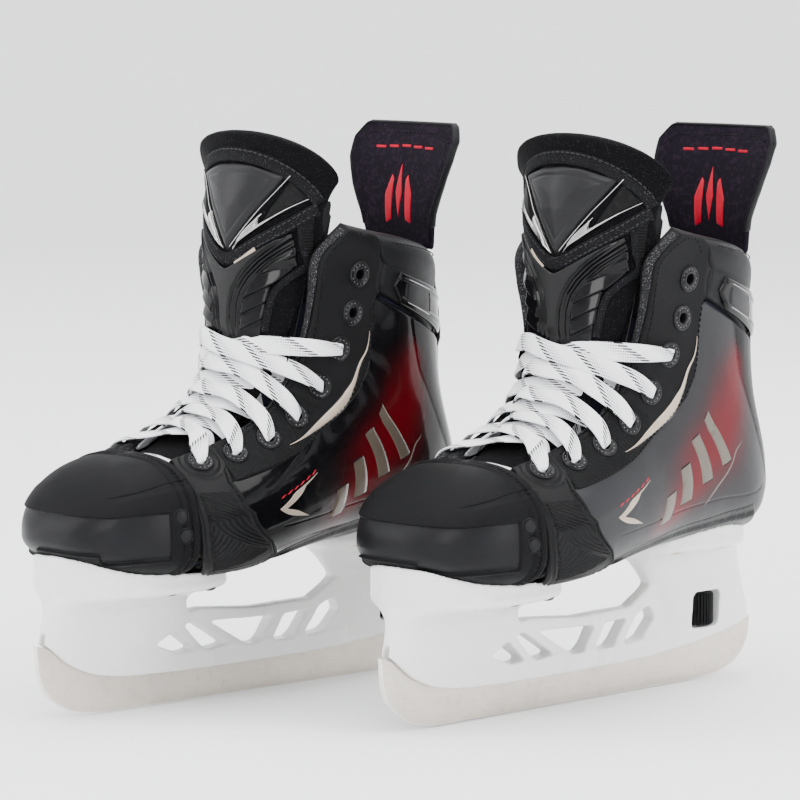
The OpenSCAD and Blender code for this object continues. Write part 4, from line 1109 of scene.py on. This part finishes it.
def insides(side):
    edge = lambda s: 1 - facing_edge(s) - 0.012
    quilt = lambda a, b, s, u: 0.5 * (bump(np.abs(u), 0.42, 0.008)
            + bump((s * 2) % 2, 1, 0.03) * step(s, 3, 3.2))
    v, f, _ = round_pad(0.25, 8.57, edge, (120, 160), (0.02, 0.02), -3.4, -6.5, quilt)
    build(side, "lining_cloth", [(v, f)], "lining", cad=("lining",))
    forefoot = lambda s: 0.12 + 0.18 * step(s, 1.95, 2.4)
    flange = lambda s, u: 0.3 + 1.6 * step(forefoot(s) - 0.035 - np.abs(u), 0, 0.03)
    for name, half, low, high, mat, node in (
            ("outsole_plate", forefoot, 0.0, flange, "sole", "outsole"),
            ("insole_sheet", lambda s: 0.21 + 0 * s, -7.3, -9.6, "board", "insole_board"),
            ("footbed_pad", lambda s: 0.23 + 0 * s, -9.9, -13.0, "footbed", "footbed")):
        v, f, _ = round_pad(0.3, 5.5, half, (110, 60), (0.015, 0.06), low, high)
        obj = build(side, name, [(v, f)], mat, cad=(node,))


# ---------------------------------------------------------------- tongue
TONGUE_TOP = np.array([[13.5, 187.5, 30.8, 20.8, 74], [13.5, 200, 33, 25, 76], [12.5, 222, 38, 31, 79],
        [9.5, 245, 45, 34, 76]])
TONGUE_ALL = np.vstack([TONGUE, TONGUE_TOP])
LEAN, CROWN, FLARE_AHEAD, FLARE_ACROSS = -0.24, 38, 9, 0.24


def tongue_rows():
    t = np.linspace(0, len(TONGUE_ALL) - 1, 600)
    r = spline(TONGUE_ALL, t)
    way = np.gradient(r[:, :2], axis=0)
    way = way / np.linalg.norm(way, axis=1, keepdims=True)
    rows = np.column_stack([r, way])
    top = rows[-1].copy()
    top[0] += LEAN * 45
    top[1] += 45
    return np.vstack([rows, top])


TROWS = tongue_rows()


def on_tongue(z, y, lift=0.0):
    """Point of the tongue's front face at height z and width y, and its outward direction."""
    z, y, lift = np.broadcast_arrays(np.asarray(z, float), np.asarray(y, float), np.asarray(lift, float))
    at, over = z, 0 * z
    for _ in range(4):
        r = [np.interp(at, TROWS[:, 1], TROWS[:, k]) for k in range(7)]
        q = np.arcsin(np.clip(y / (r[2] * (1 + FLARE_ACROSS * over**2)), -0.985, 0.985))
        over = np.clip((z - 245) / np.maximum(crown(q), 4), 0, 1)
        drop = r[3] * (1 - np.cos(q))
        at = z - r[5] * drop
    out = np.stack([np.cos(q) * r[6], np.sin(q), -np.cos(q) * r[5]], -1)
    return np.stack([r[0] - r[6] * drop + FLARE_AHEAD * np.cos(q) * over**2, y, z + 0 * y], -1) + lift[...,
            None] * out, out


def crown(q):
    """Height that the tongue's rounded top adds at angle q across its arch."""
    return CROWN * np.maximum(np.cos(q * 90 / 80), 0) ** 0.35


def tongue_relief(z_range, y_range, height, spacing=0.45):
    """Height field over the tongue; where height is negative the piece lies inside the felt."""
    z = np.arange(*z_range, spacing)
    y = np.arange(*y_range, spacing)
    z, y = np.meshgrid(z, y, indexing="ij")
    h = height(z, y)
    h[[0, -1]] = -1.0
    h[:, [0, -1]] = -1.0
    return slab(on_tongue(z, y, h)[0], on_tongue(z, y, np.full(z.shape, -1.4))[0])


def tongue_line(points, mirror=False, lift=0.8, steps=1.0):
    """Path over the tongue through (z, y) points, with its outward directions."""
    zy = resample(np.asarray(points, float) * ([1, -1] if mirror else [1, 1]), step=steps,
            curved=len(points) > 2)
    return on_tongue(zy[:, 0], zy[:, 1], lift)


def inside_of(z, y, corners):
    """Signed distance to a convex outline of (z, y) corners, positive inside."""
    c = np.asarray(corners, float)
    if np.sum(c[:, 0] * np.roll(c[:, 1], -1) - np.roll(c[:, 0], -1) * c[:, 1]) < 0:
        c = c[::-1]
    d = np.roll(c, -1, 0) - c
    d /= np.linalg.norm(d, axis=1, keepdims=True)
    return np.min([d[k, 0] * (y - c[k, 1]) - d[k, 1] * (z - c[k, 0]) for k in range(len(c))], axis=0)


def tongue(side):
    # Felt body, over the bend above the top lace.
    a, b, full = rounded_grid((150, 90), (0.02, 0.05))
    t = np.minimum(a / 0.8, 1) * (len(TONGUE_ALL) - 1)
    r = spline(TONGUE_ALL, t)
    d = spline(TONGUE_ALL, np.minimum(t + 0.05, len(TONGUE_ALL) - 1)) - spline(TONGUE_ALL,
            np.maximum(t - 0.05, 0))
    way = unit(d[..., :2])
    q = np.radians(r[..., 4] * (1 + 0.2 * step(r[..., 1], 140, 165) * step(245 - r[..., 1], 0, 20))
            * (2 * b - 1))

    def face(depth):
        drop = r[..., 3] * (1 - np.cos(q)) + depth * np.cos(q)
        half = (r[..., 2] - depth * 0.8) * np.sin(q)
        over = np.clip((a - 0.8) / 0.2, 0, 1)
        rise = crown(q) * over
        return np.stack([r[..., 0] - way[..., 1] * drop + LEAN * rise + FLARE_AHEAD * np.cos(q) * over**2,
                         half * (1 + FLARE_ACROSS * over**2), r[..., 1] + way[..., 0] * drop + rise], -1)

    felt = build(side, "tongue_felt", [slab(face(7.8 - 7.6 * full), face(np.full(a.shape, 7.8)))], "felt",
            body=None,
                 cad=("tongue_lower", "tongue_upper"))
    bend = lambda obj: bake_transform(obj)
    bend(felt)
    put = lambda name, parts, mat, slot=None, cad=(): build(side, name, parts, mat, body="tongue_top_body",
            slot=slot, cad=cad)

    # Knit binding under the felt band, with two rows of stitches.
    y = np.linspace(-42, 42, 90)
    z = 245 + crown(np.arcsin(y / 45)) - 12.6 - 0.0045 * y**2
    y = y * (1 + FLARE_ACROSS * np.clip((z - 245) / crown(np.arcsin(y / 45)), 0, 1) ** 2) * 0.985
    path, out = on_tongue(z, y, 0.5)
    put("tongue_binding", [sweep(path, out, circle_ring(1, 14) * [3.4, 0.75])], "knit")
    rows = []
    for shift in (2.3, -2.3):
        p, o = on_tongue(z + shift, y * (1 + shift * 0.008), 1.05)
        rows += stitches(p, o, pitch=3.2, length=2.2, r=0.32)
    put("tongue_binding_stitches", rows, "grey_thread")

    # Padded shield with a V foot.
    shield = [(222.7, 0), (260.5, 30.5), (265.5, 12), (266.3, 0), (265.5, -12), (260.5, -30.5)]

    def shield_height(z, y):
        d = inside_of(z, y, shield)
        return -0.9 + 2.6 * np.sqrt(1 - (1 - np.clip(d / 3.2, 0, 1)) ** 2) + 1.5 * step(d, 0,
                14) - 0.35 * bump(d, 4.6, 0.5)

    solid = tongue_relief((220, 269), (-33, 33), shield_height, 0.5)
    badge = put("tongue_shield", [solid], "badge", "leather_black", cad=("tongue_badge",))

    # Silver wedges, mesh triangles and the speckled V below the shield.
    wedges, nets, ribs, binding, borders, bind_rows, thin = [], [], [], [], [], [], []
    for m in (1, -1):
        def wedge_height(z, y, m=m):
            y = y * m
            outer = inside_of(z, y, [(222.4, 2.4), (248.9, 39.1), (249.8, 38.4), (235.6, 16.6),
                    (231.8, 10.6)])
            branch = inside_of(z, y, [(222.8, 3.2), (229.5, 11.0), (233.2, 16.4), (242.2, 19.4),
                    (232.4, 9.6)])
            d = np.maximum(outer, branch)
            return -0.9 + 3.0 * step(d, -0.25, 0.75)
        wedges.append(tongue_relief((221, 251), (1, 40) if m > 0 else (-40, -1), wedge_height, 0.35))
        net = lambda z, y, m=m: -1.0 + 2.1 * step(inside_of(z, y * m,
                [(235.5, 19.0), (258.5, 31.5), (249.5, 38.4)]), -0.3, 0.5)
        nets.append(tongue_relief((233, 260), (17, 41) if m > 0 else (-41, -17), net, 0.5))
        thin.append(sweep(*tongue_line([(224.2, 2.6), (241, 16.2), (260.2, 31.6)], m < 0, 1.4),
                circle_ring(0.26, 8)))
        rib = lambda z, y, m=m: -1.0 + step(inside_of(z, y * m,
                [(237.5, 36.2), (246, 41.6), (222, 37.6), (213, 34.6), (216.5, 34.8)]), -0.3, 0.6) * (1.75
                        + 0.42 * np.sin(z * 2 * math.pi / 1.5))
        ribs.append(tongue_relief((212, 248), (33, 44) if m > 0 else (-44, -33), rib, 0.3))
        line, out = tongue_line([(243.8, 41.3), (235.5, 31), (226.5, 17), (220.2, 6.5), (218.2, 0)], m < 0,
                0.6)
        binding.append(sweep(line, out, circle_ring(1, 12) * [3.1, 0.7]))
        for off in (2.0, -2.2):
            bind_rows += stitches(*tongue_line([(243.8 + off, 40.8), (235.5 + off, 31), (226.5 + off, 17),
                    (220.2 + off, 6)], m < 0, 1.15), pitch=2.9, length=1.9, r=0.28)
        line, out = tongue_line([(236, 36.0), (226, 35.5), (216, 35.4), (209, 30), (203, 26), (196, 24.0),
                (188, 22.6), (183, 22.0)], m < 0, 0.5)
        borders.append(sweep(line, out, circle_ring(1, 12) * [1.9, 0.6]))
    put("tongue_wedges", wedges, "silver")
    put("tongue_shield_edge", thin, "silver")
    put("tongue_nets", nets, "mesh_cloth")
    put("tongue_ribbed_panels", ribs, "rib_cloth")
    put("tongue_v_binding", binding, "knit")
    put("tongue_v_stitches", bind_rows, "grey_thread")
    bend(build(side, "tongue_side_borders", borders, "knit", body=None))
    dash, out = tongue_line([(223.8, -17.6), (219.2, -11.6), (216.2, -6.8)], False, 1.5)
    put("tongue_tab", [sweep(dash, out, circle_ring(1, 10) * [1.15, 0.35])], "gold")

    # Moulded shin guard: a matte Y over gloss ridges and slanted ribs.
    def guard_shape(z, y):
        ay = np.abs(y)
        half = np.interp(z, [168, 183, 188, 197, 205, 211, 216, 226, 234],
                [18.6, 20.3, 21, 22.5, 24.2, 29.5, 33.4, 33.6, 32.6])
        roof = 213.4 + 0.62 * np.sqrt(ay**2 + 9) - 1.2
        d = np.minimum(np.minimum(half - ay, roof - z), z - 169.4)
        neck = np.interp(z, [169, 186, 196, 204, 211, 218, 226, 235], [2.4, 2.6, 3.2, 5.2, 9.2, 15.2, 24, 34])
        d1 = (ay - neck) * np.interp(z, [186, 200, 212, 230], [1, 0.95, 0.75, 0.62])
        h = np.full(z.shape, 1.0)
        h += 1.1 * step(-d1, -0.2, 0.6)
        h += 1.5 * bump(d1, 2.3, 0.75) + 1.1 * bump(d1, 5.6, 0.6) - 0.3 * bump(d1, 4.0, 0.6)
        low = step(d1, 7.0, 7.6) * step(213.5 + 0.2 * (ay - 20) - z, 0, 1)
        slant = ((z - 0.55 * ay) / 7.4) % 1
        h += low * (2.1 * (1 - slant) * step(slant, 0.0, 0.12) - 0.4)
        plate = step(d1, 7.2, 7.8) * (1 - step(213.5 + 0.2 * (ay - 20) - z, 0, 1))
        h += plate * (0.5 + 0.7 * bump(((z - 0.62 * ay) / 6.0) % 1, 0.5, 0.18))
        h *= 0.32 + 0.68 * step(z, 181, 189)
        return np.where(d > -0.3, -0.9 + (h + 0.9) * np.sqrt(1 - (1 - np.clip((d + 0.3) / 1.3, 0, 1)) ** 2),
                -1.0), (d1 < 0.2) & (d > 0.3)

    span, across, fine = (168.6, 236), (-35, 35), 0.34
    solid = tongue_relief(span, across, lambda z, y: guard_shape(z, y)[0], fine)
    z, y = np.meshgrid(np.arange(*span, fine), np.arange(*across, fine), indexing="ij")
    matte = guard_shape(z, y)[1].ravel()
    guard = build(side, "tongue_guard_moulding", [solid], "gloss", body=None, cad=("tongue_guard",),
                  tints={"matte": np.concatenate([matte, np.zeros(matte.size)])})
    second_material(guard, "matte", "spine")
    bend(guard)


# ---------------------------------------------------------------- tendon guard
GUARD = np.array([[-105, 218, 23], [-104.5, 222, 24], [-103.2, 236, 27], [-104, 250, 33], [-107, 264, 37.5],
        [-111, 274, 38], [-115, 283, 33]])


def guard_at(z, y, depth):
    fine = spline(GUARD, np.linspace(0, len(GUARD) - 1, 200))
    x = np.interp(z, fine[:, 1], fine[:, 0])
    return np.stack([x + 4 * (y / 38) ** 2 - depth, y + 0 * z, z + 0 * y], -1)


def guard_half(z):
    half = np.interp(z, GUARD[:, 1], GUARD[:, 2])
    return half - np.where(z > 274, ((z - 274) / 9.0) ** 2 * 1.5, 0)


def tendon_guard(side):
    body = "tendon_guard_body"
    a, b, full = rounded_grid((90, 70), (0.03, 0.03))
    z = 218.5 + a * 64.5
    y = (2 * b - 1) * guard_half(z)
    cloth = build(side, "tendon_guard_cloth",
            [slab(guard_at(z, y, 2.0 - 2.0 * full), guard_at(z, y, 2.0 + 2.0 * full))], "guard_cloth",
                  body=None,
                  cad=("tendon_guard",))
    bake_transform(cloth)
    put = lambda name, parts, mat, slot=None, cad=(): build(side, name, parts, mat, body=body, slot=slot,
            cad=cad)
    # Bound edge and its stitches, on the front and round the top.
    zz = np.concatenate([np.linspace(230, 272, 40), np.linspace(273, 281.3, 12)])
    left = np.stack([zz, guard_half(zz) - 0.9], -1)
    over = np.stack([np.full(9, 282.0), np.linspace(guard_half(281.3) - 3, -(guard_half(281.3) - 3), 9)], -1)
    loop = resample(np.concatenate([left, over, (left * [1, -1])[::-1]]), step=1.2, curved=False)
    front = guard_at(loop[:, 0], loop[:, 1], 1.9)
    put("tendon_guard_edge", [sweep(front, np.tile([1.0, 0, 0.05], (len(front), 1)),
            circle_ring(1, 12) * [0.95, 2.35])], "leather", "guard_fabric")
    inner = np.stack([loop[:, 0] - np.where(loop[:, 0] > 276, 4.6, 0),
            np.sign(loop[:, 1]) * np.maximum(np.abs(loop[:, 1]) - 4.4, 0)], -1)
    inner = resample(inner, step=1.2, curved=False)
    put("tendon_guard_stitches", stitches(guard_at(inner[:, 0], inner[:, 1], 0.0),
            np.tile([1.0, 0, 0], (len(inner), 1)), pitch=3.0, length=2.1, r=0.3), "thread")
    # Generic red emblem: a tall slim lozenge between two slanted bars, and a dashed line above.
    marks = []
    for corners in ([(234, 0), (247, 2.3), (262, 0), (247, -2.3)],
            [(233, 5.2), (231, 9.2), (246, 9.8), (256, 6.0), (254, 4.4)],
                    [(233, -5.2), (231, -9.2), (246, -9.8), (256, -6.0), (254, -4.4)]):
        c = np.asarray(corners, float)
        mid = c.mean(0)
        ring = resample(np.vstack([c, c[:1]]), count=40, curved=False)
        k = np.array([0, 0.5, 0.97, 1.0, 1.0])[:, None, None]
        zy = mid + (ring - mid)[None] * k
        high = np.array([0.25, 0.25, 0.25, 0.12, -0.4])[:, None] * np.ones(40)
        marks.append((guard_at(zy[..., 0], zy[..., 1], -high).reshape(-1, 3), quads(5, 40)))
    put("tendon_guard_emblem", marks, "red")
    dashes = []
    for k in range(-2, 3):
        zc, yc = 270.5 - 0.4 * abs(k), k * 9.0
        line = np.array([guard_at(zc, yc + d, -0.1) for d in np.linspace(-3.2, 3.2, 6)])
        dashes.append(sweep(line, np.tile([1.0, 0, 0], (6, 1)), circle_ring(1, 10) * [0.75, 0.22]))
    put("tendon_guard_dashes", dashes, "red")
    # Gloss spine behind, with ribs across it.
    a, b, full = rounded_grid((160, 40), (0.03, 0.08))
    z = 222.2 + a * 57
    y = (2 * b - 1) * guard_half(z) * 0.5
    rib = 0.55 * np.sin((z + np.abs(y) * 0.6) * 2 * math.pi / 4.6) * step(np.abs(2 * b - 1), 0.82,
            0.72) + 0.35 * bump(np.abs(2 * b - 1), 0.9, 0.05)
    put("tendon_spine_moulding", [slab(guard_at(z, y, 4.2 + (2.0 + rib * 0.6) * full),
            guard_at(z, y, 4.15 + 0 * z))], "gloss", cad=("tendon_spine",))


# ---------------------------------------------------------------- holder, runner, fittings
FRONT_RINGS = np.array([[80, 28, 124, 37], [66, 28, 124, 37], [60.8, 28, 124, 37], [57, 36, 126.5, 22],
        [52, 42, 128.5, 12.5],
                        [44, 40, 131, 9], [34, 34, 133.5, 7], [14, 30, 134, 5]])
REAR_RINGS = np.array([[90, -118, -36, 26], [76, -118, -36, 26], [71.6, -118, -36, 26], [67, -121, -44, 15],
        [58, -125, -52, 10],
                       [45, -129.5, -60, 8], [32, -134, -64, 7], [14, -135, -60, 5]])
STEEL_TOP = np.array([[-132, 28], [-100, 21.5], [-60, 17], [0, 15.5], [60, 16], [95, 18.5], [115, 25],
        [131, 37]])
WINDOWS = [[[65, 30.5], [52, 36.5], [38, 25.5], [48, 24.5]], [[46, 38.5], [38, 39], [17, 26], [31, 24.5]],
           [[28, 38.5], [-14, 37], [-5, 24.5], [4, 24.5]],
           [[-21, 37], [-38, 38], [-27, 24.5], [-13, 24.5]],
           [[-45, 39], [-55, 42.5], [-59, 36], [-49, 26], [-34, 24.5]]]
BRIDGE = [[60, 14], [45, 44], [34, 46], [0, 43], [-40, 43.5], [-52, 50], [-62, 58], [-75, 40], [-75, 14]]
FRONT_RIVETS = ((99.5, 27), (76, 31), (51, 30))
REAR_RIVETS = ((-57, 18), (-92, 18))
WHEEL_X, WHEEL_Z = -95, 36.7
RUNNER_HALF, GROOVE_LIFT = 136, 5.5


def ring_loft(rings, n=72):
    keys = np.concatenate([np.linspace(0, 2, 5), np.linspace(2, len(rings) - 1, 60)[1:]])
    rows = spline(rings, keys)
    a = turns(n)
    power = 2 / 2.6
    x = np.sign(np.cos(a)) * np.abs(np.cos(a)) ** power
    y = np.sign(np.sin(a)) * np.abs(np.sin(a)) ** power
    return capped(np.stack([(rows[:, 1:2] + rows[:, 2:3]) / 2 + (rows[:, 2:3] - rows[:, 1:2]) / 2 * x,
                            rows[:, 3:4] * y, rows[:, :1] + 0 * x], -1))


def prism(side, outlines, width):
    """Temporary solid: outlines in x and z, drawn across the blade."""
    bm = bmesh.new()
    for outline, w in zip(outlines, width):
        ends = []
        for y in (-w / 2, w / 2):
            ring = [bm.verts.new(to_row(side, [x, y, z])) for x, z in outline]
            ends.append(ring)
        bm.faces.new(ends[0])
        bm.faces.new(ends[1][::-1])
        n = len(outline)
        for k in range(n):
            bm.faces.new([ends[0][k], ends[1][k], ends[1][(k + 1) % n], ends[0][(k + 1) % n]])
    bmesh.ops.recalc_face_normals(bm, faces=bm.faces)
    me = bpy.data.meshes.new("cutter")
    bm.to_mesh(me)
    bm.free()
    return add_object("cutter", me)


def modified(obj, *steps):
    """Applies modifiers, given as (type, settings), to a mesh object."""
    for kind, settings in steps:
        mod = obj.modifiers.new("step", kind)
        for key, value in settings.items():
            setattr(mod, key, value)
    done = bpy.data.meshes.new_from_object(obj.evaluated_get(bpy.context.evaluated_depsgraph_get()))
    obj.modifiers.clear()
    old = obj.data
    obj.data = done
    bpy.data.meshes.remove(old)


def rounded_outline(points, radius=2.2, n=5):
    """Outline with its corners rounded."""
    p = np.asarray(points, float)
    out = []
    for k in range(len(p)):
        a, b, c = p[k - 1], p[k], p[(k + 1) % len(p)]
        u, w = unit(a - b), unit(c - b)
        r = min(radius, 0.45 * np.linalg.norm(a - b), 0.45 * np.linalg.norm(c - b))
        for t in np.linspace(0, 1, n):
            out.append((1 - t) ** 2 * (b + u * r) + 2 * t * (1 - t) * b + t**2 * (b + w * r))
    return np.array(out)


def boot_solid(side):
    """Temporary solid of the boot and cap, a little proud, that the holder's flanges are cut to."""
    s, u = np.meshgrid(np.linspace(-0.35, 9.9, 70), np.linspace(-1, 1, 140), indexing="ij")
    half = 0.12 + 0.18 * step(s, 1.95, 2.4)
    rings = off_skin(s, u, 0.22 + 1.5 * step(half - 0.03 - np.abs(u), 0, 0.03))
    a, phi = np.meshgrid(np.linspace(0.5, 179.5, 60), np.linspace(-90, 90, 80), indexing="ij")
    return [build(side, "boot_cutter", [capped(grid)], "white", body=None)
            for grid in (rings, cap_point(phi, a, 0.2))]


def holder(side):
    steel = spline(STEEL_TOP, np.linspace(0, len(STEEL_TOP) - 1, 80))
    shape = build(side, "holder_moulding", [ring_loft(FRONT_RINGS), ring_loft(REAR_RINGS)], "white",
            body=None, weld=0)
    rail = prism(side, [BRIDGE, [[58, 14], [48, 26], [-62, 26], [-62, 14]]], [8, 10])
    bpy.context.view_layer.update()
    bm = bmesh.new()
    for o in (shape, rail):
        bm.from_mesh(o.data)
    bm.to_mesh(shape.data)
    bm.free()
    modified(shape, ("REMESH", {"mode": "VOXEL", "voxel_size": 0.0009}),
             ("SMOOTH", {"factor": 0.5, "iterations": 6}))
    under = np.vstack([[[-150, 5], [-150, 33]], steel, [[150, 40], [150, 5]]])
    groove = np.vstack([[[-150, 5], [-150, 38]], steel + [0, GROOVE_LIFT + 0.8], [[150, 45], [150, 5]]])
    cutters = [prism(side, [rounded_outline(w)], [60]) for w in WINDOWS]
    cutters += [prism(side, [under], [60]), prism(side, [groove], [3.5])] + boot_solid(side)
    pocket = np.array([[-10.2, -9.3], [10.2, -9.3], [10.2, 9.3], [-10.2, 9.3]]) + [WHEEL_X, WHEEL_Z]
    cutters.append(prism(side, [rounded_outline(pocket, 2.5)], [60]))
    holes = []
    for places, low, seat, high in ((FRONT_RIVETS, 50, 60.75, 74), (REAR_RIVETS, 61, 71.55, 80)):
        for x, y in places:
            for m in (-1, 1):
                holes.append(revolve(np.array([x, m * y, 0]), [0, 0, 1.0],
                        [(0.01, low), (4.0, low), (4.0, seat), (2.1, seat), (2.1, high), (0.01, high)], 32))
    cutters.append(build(side, "hole_cutter", holes, "white", body=None))
    for c in cutters:
        bpy.context.view_layer.update()
        modified(shape, ("BOOLEAN", {"operation": "DIFFERENCE", "object": c, "solver": "EXACT"}))
    bpy.context.view_layer.update()
    modified(shape, ("REMESH", {"mode": "VOXEL", "voxel_size": 0.0007}),
             ("SMOOTH", {"factor": 0.5, "iterations": 5}))
    for o in cutters + [rail]:
        bpy.data.meshes.remove(o.data)
    me = shape.data
    me.polygons.foreach_set("use_smooth", np.ones(len(me.polygons), bool))
    me.materials.clear()
    me.materials.append(M["white"])
    place(side, shape, "root", ("holder",), "holder_white")


def runner(side):
    h = RUNNER_HALF
    low = np.array([[-h, 28], [-h + 1.5, 17], [-h + 8, 8], [-h + 20, 2.5], [-h + 38, 0.4], [-80, 0], [0, 0],
            [80, 0], [h - 36, 0.5], [h - 20, 3.5], [h - 8, 11], [h - 2, 21], [h - 0.5, 37]])
    bottom = np.vstack([spline(low[:6], np.linspace(0, 5, 70)),
            np.column_stack([np.linspace(-78, 78, 60), np.zeros(60)]),
                        spline(low[7:], np.linspace(0, 5, 70))])
    bottom[:, 1] = np.maximum(bottom[:, 1], 0)
    crown = np.vstack([[-h, 28.2], STEEL_TOP[1:-1] + [0.2, GROOVE_LIFT], [h - 0.5, 37.2]])
    top = resample(crown, count=len(bottom), curved=False)
    share = np.array([0, 0.012, 0.035, 0.07, 0.2, 0.4, 0.6, 0.8, 0.97, 1.0])
    y = np.array([0.0, 1.25, 1.38, 1.5, 1.5, 1.5, 1.5, 1.5, 1.5, 1.2])
    xz = bottom[:, None] * (1 - share)[None, :, None] + top[:, None] * share[None, :, None]
    hollow = np.zeros(len(share))
    hollow[0] = 0.18
    sides = [np.stack([xz[..., 0], np.broadcast_to(m * y, xz.shape[:2]), xz[..., 1] + hollow], -1)
             for m in (1, -1)]
    loop = np.concatenate([sides[0], sides[1][:, ::-1]], 1)
    n, k = loop.shape[:2]
    edge = np.zeros((n + 2, k))
    edge[:, [0, 1, 2, -1, -2, -3]] = 1
    blade = build(side, "runner_steel", [capped(loop)], "steel", body="runner_body", cad=("runner",), flat=25,
            tints={"honed": edge})
    second_material(blade, "honed", "edge_steel")


def fittings(side):
    ribs, n = 30, 240
    a = turns(n)
    tooth = np.clip(np.cos(a * ribs) * 1.6, -1, 1) * 0.42
    rows = [(-8.5, 2.6, 0), (-8.5, 7.2, 0), (-8.2, 8.0, 0.3), (-7.6, 8.35, 0.9), (-6.8, 8.4, 1),
            (6.8, 8.4, 1), (7.6, 8.35, 0.9), (8.2, 8.0, 0.3), (8.5, 7.2, 0), (8.5, 2.6, 0), (-8.5, 2.6, 0)]
    v = np.array([np.stack([WHEEL_X + (r + k * tooth) * np.cos(a), (r + k * tooth) * np.sin(a), WHEEL_Z + z
            + 0 * a], -1) for z, r, k in rows])
    build(side, "lock_wheel_rubber", [(v.reshape(-1, 3), quads(len(rows), n, loop_j=True))], "rubber",
          body="lock_wheel_body", cad=("lock_wheel",), flat=40)
    thread = [(0.01, 28), (2.1, 28), (2.45, 28.4)]
    for k in range(34):
        z = 28.6 + k * 0.8
        thread += [(2.5, z), (2.2, z + 0.4)]
    thread += [(2.4, 55.8), (2.2, 56), (0.01, 56)]
    build(side, "lock_stud_turned", [revolve(np.array([WHEEL_X, 0, 0]), [0, 0, 1.0], thread, 36)], "stud",
          cad=("lock_stud",), flat=40)
    head = [(0.01, -1.75), (1.4, -1.7), (2.6, -1.35), (3.4, -0.75), (3.6, -0.3), (3.6, -0.05), (2.05, -0.05)]
    for name, places, base, length, mat, cad in (("front_rivet_heads", FRONT_RIVETS, 60.7, 3.2, "rivet",
            "front_rivets"), ("rear_rivet_heads", REAR_RIVETS, 71.5, 2.4, "copper", "rear_rivets")):
        solids = [revolve(np.array([x, m * y, base]), [0, 0, 1.0], head + [(2.05, length), (0.01, length)],
                36) for x, y in places for m in (-1, 1)]
        build(side, name, solids, mat, cad=(cad,), flat=50)


# ---------------------------------------------------------------- the pair
for side in SIDES:
    lacing(side)
for side in SIDES:
    for make in (toe_cap, vamp, quarter, prints, facing, wing, eyelets, collar, insides, tongue, tendon_guard,
            holder, runner, fittings):
        make(side)
